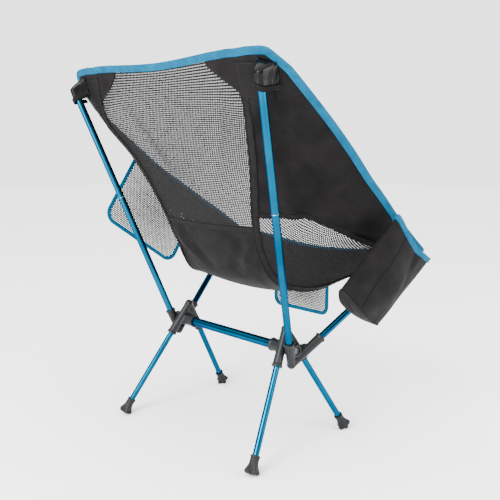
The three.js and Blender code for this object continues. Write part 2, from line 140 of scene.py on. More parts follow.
def extents(points):
    """Width and length of the rectangle that a nearly flat set of points fills."""
    centred = points - points.mean(0)
    axes = np.linalg.svd(centred, full_matrices=False)[2]
    return tuple(np.ptp(centred @ axes[k]) for k in (0, 1))


def sweep(path, across, up, section, closed=False):
    """A bar of the given section along a path: across and up are its frame at each point."""
    section = np.asarray(section, float)
    count, k = len(path), len(section)
    verts = path[:, None] + across[:, None] * section[None, :, :1] + up[:, None] * section[None, :, 1:]
    verts = verts.reshape(-1, 3)
    rows = count + 1 if closed else count
    faces = []
    for i in range(rows - 1):
        for j in range(k):
            a, b = i * k + j, i * k + (j + 1) % k
            c, d = (a + k) % (count * k), (b + k) % (count * k)
            faces.append((a, c, d, b))
    if not closed:
        faces.append(tuple(range(k)))
        faces.append(tuple(reversed(range((count - 1) * k, count * k))))
    round_it = np.linalg.norm(np.diff(section, axis=0, append=section[:1]), axis=1)
    u = np.tile(np.concatenate([[0], np.cumsum(round_it)[:-1]]), count)
    v = np.repeat(lengths(path, 0), k)
    return verts, faces, np.stack([u, v], 1)


def circle(radius, sides=10):
    turn = turns(sides)
    return np.stack([radius * np.cos(turn), radius * np.sin(turn)], 1)


def resample(path, step):
    """Points a near-constant step apart on a polyline, with their tangents."""
    run = lengths(path, 0)
    count = max(3, int(round(run[-1] / step)) + 1)
    at = np.linspace(0, run[-1], count)
    points = np.stack([np.interp(at, run, path[:, k]) for k in range(3)], 1)
    return points, unit(np.gradient(points, axis=0))


def stitches(path, up, step, length, width, height, turned=False):
    """A row of thread bumps along a path, each a small pointed grain; turned ones lie across it."""
    run = lengths(path, 0)
    at = np.arange(step / 2, run[-1], step)
    middle = np.stack([np.interp(at, run, path[:, k]) for k in range(3)], 1)
    top = unit(np.stack([np.interp(at, run, up[:, k]) for k in range(3)], 1))
    along = unit(np.stack([np.interp(at, run, np.gradient(path[:, k], run)) for k in range(3)], 1))
    side = unit(np.cross(along, top))
    if turned:
        along, side = side, -along
    verts, faces = [], []
    for m, t, a, s in zip(middle, top, along, side):
        base = len(verts)
        verts += [m - a * length / 2, m + a * length / 2]
        for k in range(6):
            angle = k / 6 * 2 * math.pi
            verts.append(m + s * width / 2 * math.cos(angle) + t * height * math.sin(angle))
        for k in range(6):
            p, q = base + 2 + k, base + 2 + (k + 1) % 6
            faces += [(base, q, p), (base + 1, p, q)]
    return np.array(verts).reshape(-1, 3), faces


def sewn(path, up, seam, material=1):
    """A row of stitches as a part for join: seam gives their step, length, width and height."""
    return (*stitches(path, up, *seam), None, material)


def join(parts):
    """Several (verts, faces, uv or None, material index) as one mesh's lists."""
    verts, faces, uvs, index = [], [], [], []
    for v, f, uv, m in parts:
        base = sum(len(x) for x in verts)
        verts.append(np.asarray(v, float))
        faces += [tuple(k + base for k in face) for face in f]
        uvs.append(np.zeros((len(v), 2)) if uv is None else uv)
        index += [m] * len(f)
    return np.concatenate(verts), faces, np.concatenate(uvs), index


# ---- materials -----------------------------------------------------------------------------------
class Nodes:
    """A small helper that adds and links shader nodes of one material."""

    def __init__(self, name, base, roughness, metallic=0.0, **sockets):
        self.material = bpy.data.materials.new(name)
        self.material.use_nodes = True
        self.tree = self.material.node_tree
        self.shader = self.tree.nodes["Principled BSDF"]
        self.set("Base Color", (*base, 1))
        self.set("Roughness", roughness)
        self.set("Metallic", metallic)
        for socket, value in sockets.items():
            self.set(socket.replace("_", " "), value)

    def set(self, socket, value):
        self.shader.inputs[socket].default_value = value

    def add(self, kind, values=(), **settings):
        node = self.tree.nodes.new("ShaderNode" + kind)
        for key, value in settings.items():
            setattr(node, key, value)
        for index, value in enumerate(values):
            if isinstance(value, bpy.types.NodeSocket):
                self.tree.links.new(value, node.inputs[index])
            elif value is not None:
                node.inputs[index].default_value = value
        return node.outputs[0]

    def math(self, operation, *values):
        return self.add("Math", values, operation=operation)

    def link(self, socket, value):
        self.tree.links.new(value, self.shader.inputs[socket])

    def uv(self):
        node = self.tree.nodes.new("ShaderNodeUVMap")
        node.uv_map = "Cloth"
        split = self.tree.nodes.new("ShaderNodeSeparateXYZ")
        self.tree.links.new(node.outputs[0], split.inputs[0])
        return split.outputs[0], split.outputs[1]

    def place(self):
        return self.tree.nodes.new("ShaderNodeTexCoord").outputs["Object"]

    def noise(self, scale, detail=3.0, at=None, stretch=(1, 1, 1)):
        mapping = self.tree.nodes.new("ShaderNodeMapping")
        mapping.inputs["Scale"].default_value = stretch
        self.tree.links.new(self.place() if at is None else at, mapping.inputs["Vector"])
        node = self.tree.nodes.new("ShaderNodeTexNoise")
        node.inputs["Scale"].default_value = scale
        node.inputs["Detail"].default_value = detail
        self.tree.links.new(mapping.outputs[0], node.inputs["Vector"])
        return node.outputs["Fac"]

    def waves(self, value, pitch):
        return self.math("SINE", self.math("MULTIPLY", value, 2 * math.pi / pitch))

    def blend(self, factor, low, high):
        ramp = self.tree.nodes.new("ShaderNodeValToRGB")
        ramp.color_ramp.elements[0].position, ramp.color_ramp.elements[1].position = 0.3, 0.7
        ramp.color_ramp.elements[0].color, ramp.color_ramp.elements[1].color = (*low, 1), (*high, 1)
        self.tree.links.new(factor, ramp.inputs[0])
        return ramp.outputs[0]

    def span(self, value, low, high):
        node = self.tree.nodes.new("ShaderNodeMapRange")
        node.inputs["To Min"].default_value, node.inputs["To Max"].default_value = low, high
        self.tree.links.new(value, node.inputs["Value"])
        return node.outputs[0]

    def bump(self, height, depth, strength=1.0):
        node = self.tree.nodes.new("ShaderNodeBump")
        node.inputs["Strength"].default_value = strength
        node.inputs["Distance"].default_value = depth
        self.tree.links.new(height, node.inputs["Height"])
        self.link("Normal", node.outputs[0])


def anodised():
    m = Nodes("blue_anodised", (0, 0.06, 0.12), 0.2, 0.97, Specular_Tint=(0.0, 0.3, 0.5, 1))
    u, v = m.uv()
    brushed = m.noise(900, 4, m.add("CombineXYZ", (u, m.math("MULTIPLY", v, 0.02))))
    cloudy = m.noise(14, 3)
    m.link("Base Color", m.blend(cloudy, (0.0, 0.05, 0.1), (0.0, 0.078, 0.148)))
    m.link("Roughness", m.span(brushed, 0.13, 0.26))
    m.bump(brushed, 0.00004, 0.35)
    return m.material


def bare_metal(name, base, roughness):
    m = Nodes(name, base, roughness, 1.0)
    m.link("Roughness", m.span(m.noise(500, 3), roughness - 0.08, roughness + 0.12))
    m.bump(m.noise(1500, 2), 0.00003, 0.3)
    return m.material


def moulded(name, low, high, roughness, grain):
    m = Nodes(name, low, roughness, 0.0, Specular_IOR_Level=0.16)
    cloudy = m.noise(40, 4)
    m.link("Base Color", m.blend(cloudy, low, high))
    m.link("Roughness", m.span(m.noise(220, 3), roughness - 0.1, roughness + 0.1))
    m.bump(m.noise(1400, 2), grain, 0.5)
    return m.material


def oxford():
    low, high, pitch = (0.0026, 0.0023, 0.0025), (0.0062, 0.0054, 0.0059), 0.0013
    m = Nodes("black_oxford", low, 0.6, 0.0, Specular_IOR_Level=0.055, Sheen_Weight=0.005,
              Sheen_Roughness=0.45)
    u, v = m.uv()
    weave = m.math("MULTIPLY", m.waves(u, pitch), m.waves(v, pitch))
    slub = m.noise(420, 2)
    height = m.math("ADD", m.math("MULTIPLY", weave, 0.5), slub)
    m.link("Base Color", m.blend(m.noise(26, 5), low, high))
    m.link("Roughness", m.span(m.noise(60, 4), 0.55, 0.78))
    m.bump(height, 0.00022, 0.6)
    return m.material


def nylon():
    m = Nodes("glossy_nylon", (0.0014, 0.0014, 0.0016), 0.2, 0.0, Specular_IOR_Level=0.1)
    m.link("Roughness", m.span(m.noise(90, 4), 0.12, 0.24))
    m.bump(m.noise(70, 2, stretch=(1, 1, 0.5)), 0.0022, 0.8)
    return m.material


def tape(name, low, high, pitch, sheen):
    m = Nodes(name, low, 0.65, 0.0, Specular_IOR_Level=0.05, Sheen_Weight=sheen)
    u, v = m.uv()
    ribs = m.waves(v, pitch)
    height = m.math("ADD", ribs, m.math("MULTIPLY", m.waves(u, pitch * 0.8), 0.3))
    # Painted shade in the grooves and a painted highlight on the crests of the ribs, over noise that is tone
    # differing at random.
    rib_shade_and_tone = m.math("ADD", m.math("MULTIPLY", ribs, 0.12), m.noise(60, 4))
    m.link("Base Color", m.blend(rib_shade_and_tone, low, high))
    m.bump(height, 0.00025, 0.7)
    return m.material


def thread(name, base):
    m = Nodes(name, base, 0.6, 0.0, Specular_IOR_Level=0.08)
    m.link("Base Color", m.blend(m.noise(300, 2), base, tuple(1.6 * c for c in base)))
    m.bump(m.noise(2600, 2), 0.0001, 0.5)
    return m.material


BLUE_METAL = anodised()
CUT_METAL = bare_metal("cut_aluminium", (0.16, 0.32, 0.4), 0.34)
FERRULE = bare_metal("ferrule_aluminium", (0.72, 0.74, 0.76), 0.32)
STEEL = bare_metal("pin_steel", (0.07, 0.072, 0.077), 0.34)
PLASTIC = moulded("hub_plastic", (0.006, 0.0069, 0.0075), (0.0095, 0.0108, 0.0117), 0.38, 0.00012)
RUBBER = moulded("foot_rubber", (0.005, 0.0055, 0.0059), (0.0082, 0.009, 0.0096), 0.55, 0.0002)
OXFORD = oxford()
NYLON = nylon()
NET = thread("mesh_thread", (0.0042, 0.004, 0.0042))
BLUE_TAPE = tape("blue_binding", (0.0, 0.052, 0.112), (0.0, 0.084, 0.158), 0.0017, 0.0)
BLACK_TAPE = tape("black_webbing", (0.0024, 0.0022, 0.0024), (0.0056, 0.0051, 0.0055), 0.0016, 0.01)
BLACK_THREAD = thread("black_thread", (0.0105, 0.0098, 0.0105))
BLUE_THREAD = thread("blue_thread", (0.0, 0.045, 0.09))
CORD = thread("cord_cover", (0.006, 0.006, 0.0063))


# ---- camera, floor and light ---------------------------------------------------------------------
CAMERA_AT = ORIGIN + np.array([-0.8901, 0.8341, 0.5336])     # from the floor under the crossbar
CAMERA_YAW, CAMERA_PITCH = math.radians(44.76), math.radians(9.38)     # from +X towards -Y, and down
CAMERA_LENS, CAMERA_SENSOR = 48.67, 36.0


def add_camera():
    data = bpy.data.cameras.new("camera")
    data.lens, data.sensor_width = CAMERA_LENS, CAMERA_SENSOR
    camera = bpy.data.objects.new("camera", data)
    bpy.context.scene.collection.objects.link(camera)
    camera.location = tuple(CAMERA_AT)
    level = math.cos(CAMERA_PITCH)
    looking = Vector((math.cos(CAMERA_YAW) * level, -math.sin(CAMERA_YAW) * level,
                      -math.sin(CAMERA_PITCH)))
    camera.rotation_mode = "QUATERNION"
    camera.rotation_quaternion = looking.to_track_quat("-Z", "Y")
    bpy.context.scene.camera = camera


# Radiance of the studio's parts, and where the soft box stands.
SKY_WALL, SKY_CEILING, SKY_BOX, SKY_BACKDROP = 0.7, 3.3, 2.4, 2.7
SOFT_BOX = tuple(unit((-0.25, 0.95, 0.25)))
FLOOR_HALF = 6.0


def add_area(name, at, target, size, power):
    data = bpy.data.lights.new(name, "AREA")
    data.shape, data.energy = "RECTANGLE", power
    data.size, data.size_y = size
    light = bpy.data.objects.new(name, data)
    bpy.context.scene.collection.objects.link(light)
    light.location = at
    light.visible_camera = False
    light.rotation_mode = "QUATERNION"
    light.rotation_quaternion = (Vector(target) - Vector(at)).to_track_quat("-Z", "Y")


def add_studio():
    world = bpy.data.worlds.new("studio")
    bpy.context.scene.world = world
    world.use_nodes = True
    tree = world.node_tree
    background = tree.nodes["Background"]
    background.inputs[0].default_value = (1, 1, 1, 1)

    def ramp(vector, direction, low, high, amount):
        dot = tree.nodes.new("ShaderNodeVectorMath")
        dot.operation = "DOT_PRODUCT"
        dot.inputs[1].default_value = direction
        tree.links.new(vector, dot.inputs[0])
        span = tree.nodes.new("ShaderNodeMapRange")
        span.interpolation_type = "SMOOTHSTEP"
        for socket, value in (("From Min", low), ("From Max", high), ("To Max", amount)):
            span.inputs[socket].default_value = value
        tree.links.new(dot.outputs["Value"], span.inputs["Value"])
        return span.outputs[0]

    def mix(operation, a, b):
        node = tree.nodes.new("ShaderNodeMath")
        node.operation = operation
        for socket, value in zip(node.inputs, (a, b)):
            if isinstance(value, float):
                socket.default_value = value
            else:
                tree.links.new(value, socket)
        return node.outputs[0]

    # A bright ceiling and one broad soft box beside the camera, dimmer walls, and a pale backdrop.
    direction = tree.nodes.new("ShaderNodeTexCoord").outputs["Generated"]
    ceiling = ramp(direction, (0, 0, 1), 0.3, 0.85, SKY_CEILING)
    box = ramp(direction, SOFT_BOX, 0.62, 0.9, SKY_BOX)
    studio = mix("ADD", mix("ADD", ceiling, box), SKY_WALL)
    seen = tree.nodes.new("ShaderNodeLightPath").outputs["Is Camera Ray"]
    backdrop = mix("MULTIPLY", seen, SKY_BACKDROP)
    shown = mix("ADD", backdrop, mix("MULTIPLY", mix("SUBTRACT", 1.0, seen), studio))
    tree.links.new(shown, background.inputs[1])
    paper = Nodes("pale_floor", (0.86, 0.86, 0.86), 0.9)
    paper.link("Base Color", paper.blend(paper.noise(3, 2), (0.93, 0.93, 0.93), (0.95, 0.95, 0.95)))
    corners = [(x * FLOOR_HALF, y * FLOOR_HALF, 0) for x, y in ((-1, -1), (1, -1), (1, 1), (-1, 1))]
    floor = make("floor", corners, [(0, 1, 2, 3)], [paper.material])
    add_area("key", (-0.4, 2.2, 2.3), (0, 0, 0.3), (1.0, 1.0), 110)
    add_area("side", (-2.4, -0.6, 1.5), (0, 0, 0.3), (1.2, 1.2), 45)
    # Two standing soft boxes, seen as streaks along the tubes.
    add_area("tall_box", (-0.1, 1.5, 0.62), (0, 0, 0.5), (0.8, 1.2), 34)
    add_area("slim_box", (-1.5, -0.4, 0.6), (0, 0, 0.45), (0.4, 1.1), 12)


# ---- tubes ---------------------------------------------------------------------------------------
TUBE_SIDES = 48
TUBE_WALL = 0.0011
CHAMFER = 0.0005
FIT_GAP = 0.0003        # play between a tube and what it goes into, or what goes into it
BACK_SEATED, FRONT_SEATED = 0.0146, 0.0386      # from the apex to a pole's end in its socket
CAP_LENGTH = 0.010
CORD_SETBACK = 0.001    # the cord starts this far inside the tube
CORD_R = 0.0013
FERRULE_HALF = 0.03
STEM_R = POLE_R - TUBE_WALL - FIT_GAP           # of the ferrule and the end cap's stem
# (radius, distance from the tube's end) of an end cap
CAP_PROFILE = [(TINY, -0.012), (STEM_R - 0.0004, -0.012), (STEM_R, -0.0115), (STEM_R, 0.0003),
               (0.0066, 0.0003), (0.0069, 0.0007), (0.0069, 0.0055), (0.0064, 0.0078), (0.005, 0.0091),
               (0.0025, 0.0095), (TINY, 0.0096)]


def frame_of(direction):
    """The unit vector of a direction, and two more square to it."""
    d = unit(direction)
    side = unit(np.cross(d, [0.0, 0.0, 1.0] if abs(d[2]) < 0.9 else [1.0, 0.0, 0.0]))
    return d, side, np.cross(d, side)


def lathe(start, direction, profile, sides=TUBE_SIDES):
    """Rings of (radius, distance) points round the line from start; the last joins the first."""
    d, side, other = frame_of(direction)
    turn = turns(sides)
    ring = np.cos(turn)[:, None] * side + np.sin(turn)[:, None] * other
    verts = np.concatenate([start + d * distance + ring * radius for radius, distance in profile])
    rows = len(profile)
    faces = []
    for i in range(rows):
        for j in range(sides):
            a, b = i * sides + j, i * sides + (j + 1) % sides
            c, e = (a + sides) % (rows * sides), (b + sides) % (rows * sides)
            faces.append((a, b, e, c))
    around = np.tile(turn, rows) * max(r for r, _ in profile)
    along = np.repeat([distance for _, distance in profile], sides)
    return verts, faces, np.stack([around, along], 1)


def ride_on(piece, body, slot, *nodes):
    """Puts a rigid piece on its body, in place of the nodes it shows. The slot is not used."""
    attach(piece, body)
    if nodes:
        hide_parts(*nodes)
    return piece


def tube(name, start, end, radius, body, node, wall=TUBE_WALL, metal=None, slot="blue_anodised"):
    """A drawn tube with turned ends: its chamfers and cut faces are bare metal."""
    length = float(np.linalg.norm(end - start))
    inner = radius - wall
    profile = [(radius - CHAMFER, 0), (radius, CHAMFER), (radius, length - CHAMFER),
               (radius - CHAMFER, length), (inner, length), (inner, 0)]
    verts, faces, uv = lathe(start, end - start, profile)
    bare_rings = (0, 2, 3, 5)
    cut = [1 if k // TUBE_SIDES in bare_rings else 0 for k in range(len(faces))]
    piece = make(name, verts, faces, [metal or BLUE_METAL, metal or CUT_METAL], uv, cut, 30)
    return ride_on(piece, body, slot, node)


def along(start, end, distance):
    """The point at a distance from start on the way to end."""
    start, end = np.asarray(start, float), np.asarray(end, float)
    return start + unit(end - start) * distance


def cord_in(name, start, end, body, node):
    """The shock cord that runs inside a tube: a braided cover on a straight line."""
    rings = 30
    path = np.linspace(start, end, rings)
    _, side, other = frame_of(end - start)
    verts, faces, uv = sweep(path, np.tile(side, (rings, 1)), np.tile(other, (rings, 1)), circle(CORD_R, 12))
    return ride_on(make(name, verts, faces, [CORD], uv), body, "shock_cord", node)


def add_tubes():
    half = (bar_high.x - bar_low.x) / 2
    left, right = place((half, 0, HUB_Z)), place((-half, 0, HUB_Z))
    tube("crossbar_tube", right, left, CROSSBAR_R, "frame", "crossbar", 0.0013)
    cord_in("crossbar_shock_cord", along(right, left, 0.002), along(left, right, 0.002), "frame",
            "crossbar_cord")
    for side, sign in SIDES.items():
        apex = place(SEAT_APEX, sign)
        back, front = place(BACK_TIP, sign), place(FRONT_TIP, sign)
        back_end = float(np.linalg.norm(back - apex)) - CAP_LENGTH
        front_end = float(np.linalg.norm(front - apex)) - CAP_LENGTH
        tube(f"back_tube_lower_{side}", along(apex, back, BACK_SEATED), along(apex, back, BACK_FOLD),
             POLE_R, "frame", f"back_pole_lower_{side}")
        tube(f"back_tube_upper_{side}", along(apex, back, BACK_FOLD + 0.0004), along(apex, back, back_end),
             POLE_R, "frame", f"back_pole_upper_{side}")
        tube(f"back_ferrule_{side}", along(apex, back, BACK_FOLD - FERRULE_HALF),
             along(apex, back, BACK_FOLD + FERRULE_HALF), STEM_R, "frame", f"back_pole_ferrule_{side}",
             0.0009, FERRULE, "ferrule_aluminium")
        tube(f"front_tube_{side}", along(apex, front, FRONT_SEATED), along(apex, front, front_end),
             POLE_R, "frame", f"front_pole_{side}")
        poles = (("back", back, BACK_SEATED, back_end), ("front", front, FRONT_SEATED, front_end))
        for name, tip, begin, total in poles:
            cord_in(f"{name}_shock_cord_{side}", along(apex, tip, begin + CORD_SETBACK),
                    along(apex, tip, total - 0.015), "frame", f"{name}_pole_cord_{side}")
            verts, faces, uv = lathe(along(apex, tip, total), tip - apex, CAP_PROFILE, 32)
            ride_on(make(f"{name}_cap_{side}", verts, faces, [PLASTIC], uv, None, 40), "frame",
                    "hub_plastic", f"{name}_pole_end_cap_{side}")


# ---- legs and feet -------------------------------------------------------------------------------
FOOT_LENGTH = 0.030
FOOT_SIDES = 60
FOOT_LOBES = 5
SOLE_LEVEL = 0.0002     # the rubber stands this far above the floor
# (distance from the sleeve's mouth, radius, depth of the lobes) of the foot's outside
FOOT_PROFILE = [(0.0, 0.0076, 0), (0.0006, 0.0081, 0), (0.0028, 0.0082, 0), (0.0034, 0.0076, 0),
                (0.009, 0.0075, 0.01), (0.013, 0.0078, 0.03), (0.017, 0.0086, 0.09),
                (0.0205, 0.0097, 0.15), (0.0235, 0.0107, 0.19), (0.0258, 0.0112, 0.2),
                (0.0276, 0.0109, 0.19), (0.029, 0.0098, 0.16), (0.0297, 0.0085, 0.1),
                (0.030, 0.006, 0.02), (0.030, TINY, 0)]
FOOT_BORE = [(0.0155, TINY), (0.0155, 0.0058), (0.0004, 0.0058), (0.0, 0.0062)]


def add_foot(name, apex, ground, body, node):
    down = unit(ground - apex)
    across = unit(np.cross(X_AXIS, down))
    aside = np.cross(down, across)
    top = ground - down * FOOT_LENGTH
    turn = turns(FOOT_SIDES)
    rings = [(distance, radius, 0.0) for distance, radius in FOOT_BORE] + FOOT_PROFILE
    verts = []
    for distance, radius, lobe in rings:
        r = radius * (1 + lobe * np.cos(FOOT_LOBES * turn))
        verts.append(top + down * distance + across * (r * np.cos(turn))[:, None]
                     + aside * (r * np.sin(turn))[:, None])
    verts = np.concatenate(verts)
    verts[:, 2] = np.maximum(verts[:, 2], SOLE_LEVEL)
    faces = [tuple(reversed(f)) for f in grid_faces(len(rings), FOOT_SIDES, closed=True)]
    piece = make(name, verts, faces, [RUBBER], None, None, 50)
    return ride_on(piece, body, "foot_rubber", node)


def add_legs():
    for side, sign in SIDES.items():
        for name, floor_point in (("rear", REAR_FOOT), ("front", FRONT_FOOT)):
            apex, ground = place(LEG_APEX, sign), place(floor_point, sign)
            reach = float(np.linalg.norm(ground - apex))
            start = along(apex, ground, 0.0346)
            end = along(apex, ground, reach - FOOT_LENGTH + 0.0154)
            body = f"leg_{name}_{side}"
            tube(f"{name}_leg_tube_{side}", start, end, LEG_R, body, f"leg_{name}_{side}")
            cord_in(f"{name}_leg_shock_cord_{side}", start, along(end, start, 0.002), body,
                    f"leg_cord_{name}_{side}")
            add_foot(f"{name}_foot_boot_{side}", apex, ground, body, f"foot_{name}_{side}")


# ---- hubs ----------------------------------------------------------------------------------------
HUB_VOXEL = 0.0008
HUB_SMOOTHING = 7


def solid(start, direction, profile, sides=TUBE_SIDES):
    verts, faces, _ = lathe(start, direction, profile, sides)
    return verts, faces, None, 0


def slab(corners, low, high):
    """A plate square to x with the given (y, z) corners."""
    n = len(corners)
    verts = [(x, y, z) for x in (low, high) for y, z in corners]
    faces = [tuple(reversed(range(n))), tuple(range(n, 2 * n))]
    faces += [(i, (i + 1) % n, n + (i + 1) % n, n + i) for i in range(n)]
    return np.array(verts), faces, None, 0


def apply_modifiers(piece):
    """Replaces a piece's mesh with what its modifiers make of it."""
    dg = bpy.context.evaluated_depsgraph_get()
    mesh = bpy.data.meshes.new_from_object(piece.evaluated_get(dg), depsgraph=dg)
    piece.modifiers.clear()
    piece.data = mesh


def moulding(name, parts, bores):
    """One moulded body: the parts grown together with soft fillets, then bored sharp."""
    verts, faces, _, _ = join(parts)
    piece = make(name, verts, faces, [PLASTIC])
    remesh = piece.modifiers.new("grow", "REMESH")
    remesh.mode, remesh.voxel_size = "VOXEL", HUB_VOXEL
    smooth = piece.modifiers.new("fillet", "SMOOTH")
    smooth.factor, smooth.iterations = 0.5, HUB_SMOOTHING
    apply_modifiers(piece)
    verts, faces, _, _ = join(bores)
    cutter = make(name + "_bores", verts, faces, [PLASTIC])
    cut = piece.modifiers.new("bore", "BOOLEAN")
    cut.operation, cut.object, cut.solver, cut.use_self = "DIFFERENCE", cutter, "EXACT", True
    apply_modifiers(piece)
    bpy.data.objects.remove(cutter)
    piece.data.polygons.foreach_set("use_smooth", [True] * len(piece.data.polygons))
    piece.data.set_sharp_from_angle(angle=math.radians(40))
    return piece


def arm(apex, tip, end, radius):
    """A socket arm: slim at the apex, fuller towards its mouth, with a lip round the mouth."""
    profile = [(TINY, 0), (radius * 0.86, 0), (radius * 0.92, end * 0.45), (radius, end - 0.010),
               (radius, end - 0.005), (radius + 0.0012, end - 0.0035), (radius + 0.0013, end - 0.0006),
               (radius + 0.0008, end), (TINY, end)]
    return solid(apex, np.asarray(tip) - apex, profile)


def ball(centre, radius):
    steps = np.linspace(0, math.pi, 13)
    profile = [(max(radius * math.sin(a), TINY), -radius * math.cos(a)) for a in steps]
    return solid(centre, np.array([0.0, 0.0, 1.0]), profile, 32)


def rod(start, direction, radius, length, edge=0.0005):
    profile = [(TINY, 0), (radius - edge, 0), (radius, edge), (radius, length - edge),
               (radius - edge, length), (TINY, length)]
    return solid(np.asarray(start, float), direction, profile)


def mirrored(piece, name):
    """The right-hand twin of a left-hand piece, across the plane through the crossbar's middle."""
    mesh = piece.data.copy()
    co = np.zeros(len(mesh.vertices) * 3, np.float32)
    mesh.vertices.foreach_get("co", co)
    co = co.reshape(-1, 3)
    co[:, 0] = 2 * ORIGIN[0] - co[:, 0]
    mesh.vertices.foreach_set("co", co.ravel())
    mesh.flip_normals()
    twin = bpy.data.objects.new(name, mesh)
    bpy.context.scene.collection.objects.link(twin)
    return twin


PIN_R, PIN_BORE_R = 0.0032, 0.0034


def bracket(name, apex, arms, radius, pole, parts, bores):
    """The moulding of the given parts and two socket arms (tip, length, depth of the bore)."""
    for tip, end, depth in arms:
        parts.append(arm(apex, tip, end, radius))
        bores.append(rod(along(apex, tip, end - depth), tip - apex, pole + FIT_GAP, depth + 0.01, TINY))
    return moulding(name, parts, bores)


def seat_bracket():
    apex, base = place(SEAT_APEX), (ORIGIN[1] - 0.006, HUB_Z + 0.006)
    arms = [(place(BACK_TIP), 0.046, 0.032), (place(FRONT_TIP), 0.072, 0.034)]
    back, front = along(apex, arms[0][0], 0.034), along(apex, arms[1][0], 0.050)
    plate = slab([apex[1:], front[1:], base, back[1:]], ORIGIN[0] + 0.149, ORIGIN[0] + 0.156)
    parts = [ball(apex, 0.0082), plate, rod(place((0.1467, 0, HUB_Z)), X_AXIS, 0.0115, 0.0163)]
    bores = [rod(place((0.14, 0, HUB_Z)), X_AXIS, PIN_BORE_R, 0.04),
             rod(place((0.160, 0, HUB_Z)), X_AXIS, 0.0072, 0.01)]
    return bracket("seat_bracket_left", apex, arms, 0.0086, POLE_R, parts, bores)


def leg_bracket():
    apex, base = place(LEG_APEX), (ORIGIN[1] - 0.002, HUB_Z - 0.012)
    arms = [(place(REAR_FOOT), 0.068, 0.034), (place(FRONT_FOOT), 0.068, 0.034)]
    rear, front = along(apex, arms[0][0], 0.044), along(apex, arms[1][0], 0.044)
    plate = slab([apex[1:], front[1:], base, rear[1:]], ORIGIN[0] + 0.127, ORIGIN[0] + 0.136)
    collar = place((0.104, 0, HUB_Z))
    parts = [ball(apex, 0.008), plate, rod(collar, X_AXIS, 0.0112, 0.0421),
             rod(collar, X_AXIS, 0.0122, 0.004)]
    bores = [rod(place((0.099, 0, HUB_Z)), X_AXIS, CROSSBAR_R + FIT_GAP, 0.0301, TINY),
             rod(place((0.12, 0, HUB_Z)), X_AXIS, PIN_BORE_R, 0.04)]
    return bracket("leg_bracket_left", apex, arms, 0.0083, LEG_R, parts, bores)


def pivot_pin():
    shank = rod(place((0.1305, 0, HUB_Z)), X_AXIS, PIN_R, 0.0305)
    head = [(TINY, 0), (0.0058, 0), (0.0062, 0.0004), (0.0061, 0.0012), (0.005, 0.0019),
            (0.0028, 0.0023), (0.0026, 0.0012), (TINY, 0.0012)]
    verts, faces, _, index = join([shank, solid(place((0.1604, 0, HUB_Z)), X_AXIS, head, 32)])
    return make("pivot_pin_left", verts, faces, [STEEL], None, index, 40)


def add_hubs():
    moulds = (("seat_bracket", seat_bracket, "hub_plastic"), ("leg_bracket", leg_bracket, "hub_plastic"),
              ("pivot_pin", pivot_pin, "steel_pin"))
    for label, build, slot in moulds:
        left = build()
        right = mirrored(left, f"{label}_right")
        ride_on(left, "frame", slot, f"hub_{label}_left")
        ride_on(right, "frame", slot, f"hub_{label}_right")


# ---- sling surface -------------------------------------------------------------------------------
# Ten stations run from the top edge, down the back, under the seat and up to the front edge. At each,
# the surface passes through a point on the centre line, on the side seam and on the outer edge.
CENTRE_LINE = np.array([
    (0, 158, 643), (0, 138, 590), (0, 99, 490), (0, 57, 382), (0, 31, 323),
    (0, -2, 281), (0, -60, 254), (0, -140, 261), (0, -215, 290), (0, -262, 307)]) * MM
SEAM_LINE = np.array([
    (216, 163, 660), (194, 146, 580), (150, 93, 487), (116, 53, 385), (111, 32, 330),
    (120, 0, 287), (146, -60, 272), (186, -145, 297), (219, -215, 331), (234, -256, 334)]) * MM
EDGE_LINE = np.array([
    (261, 149, 640), (274, 112, 602), (277, 60, 560), (275.5, 5, 516), (270, -50, 472),
    (263, -100, 438), (255, -150, 403), (249, -200, 370), (247, -240, 342), (249, -264, 324)]) * MM
LAST = len(CENTRE_LINE) - 1
BACK_ROUND, FRONT_ROUND = 0.5, 0.8      # corner radii, in stations and columns
HEM = 3.0                               # station of the hem below the back mesh
SIDE_HEM = 2.72                         # station where the side panels' hem leaves the seam
SIDE_HEM_END = 8.1                      # station where it ends, at the front patch
HEM_SPREAD, HEM_EASE = 0.66, 0.85       # how far it ends up from the seam, and over how many stations
SEAM_EASE, TIP_EASE = 0.06, 0.8         # columns over which the seam's crease is rounded off,
CREASE_TAPS = ((0.2, 0.25), (0.6, 0.17), (1.0, 0.08))    # by averaging points this far off, so weighted
LIFT_WAY = unit((-0.1, 0.6, 0.78))      # the top edge stands this way above the curves,
TOP_LIFT, CORNER_LIFT = 0.0082, 0.003   # all along and at its corners
SPLIT = 5.0                             # station where the back and front quarters of the sling meet


def curve(points, station):
    """The centripetal curve through evenly numbered points, at each station."""
    station = np.clip(np.asarray(station, float), 0, LAST)
    k = np.minimum(station.astype(int), LAST - 1)
    t = (station - k)[..., None]
    padded = np.concatenate([[2 * points[0] - points[1]], points, [2 * points[-1] - points[-2]]])
    p = [padded[k + i] for i in range(4)]
    d = [np.sqrt(np.linalg.norm(p[i + 1] - p[i], axis=-1, keepdims=True)) for i in range(3)]
    start = ((p[1] - p[0]) / d[0] - (p[2] - p[0]) / (d[0] + d[1]) + (p[2] - p[1]) / d[1]) * d[1]
    end = ((p[2] - p[1]) / d[1] - (p[3] - p[1]) / (d[1] + d[2]) + (p[3] - p[2]) / d[2]) * d[1]
    c2 = -3 * p[1] + 3 * p[2] - 2 * start - end
    c3 = 2 * p[1] - 2 * p[2] + start + end
    return p[1] + start * t + c2 * t * t + c3 * t ** 3


def bare_surface(station, column):
    """The sling's middle surface, its crease along the seam eased, and more so at the tip patches."""
    station, column = np.broadcast_arrays(np.asarray(station, float), np.asarray(column, float))
    to_end = np.minimum(station, LAST - station)
    ease = SEAM_EASE + TIP_EASE * np.clip(1.3 - to_end, 0, 1)
    reach = ease * np.clip(1 - np.abs(np.abs(column) - 1) / (2.2 * ease), 0, 1)
    return sum(weight * creased_surface(station, column + way * far * reach)
               for far, weight in CREASE_TAPS for way in (-1, 1))


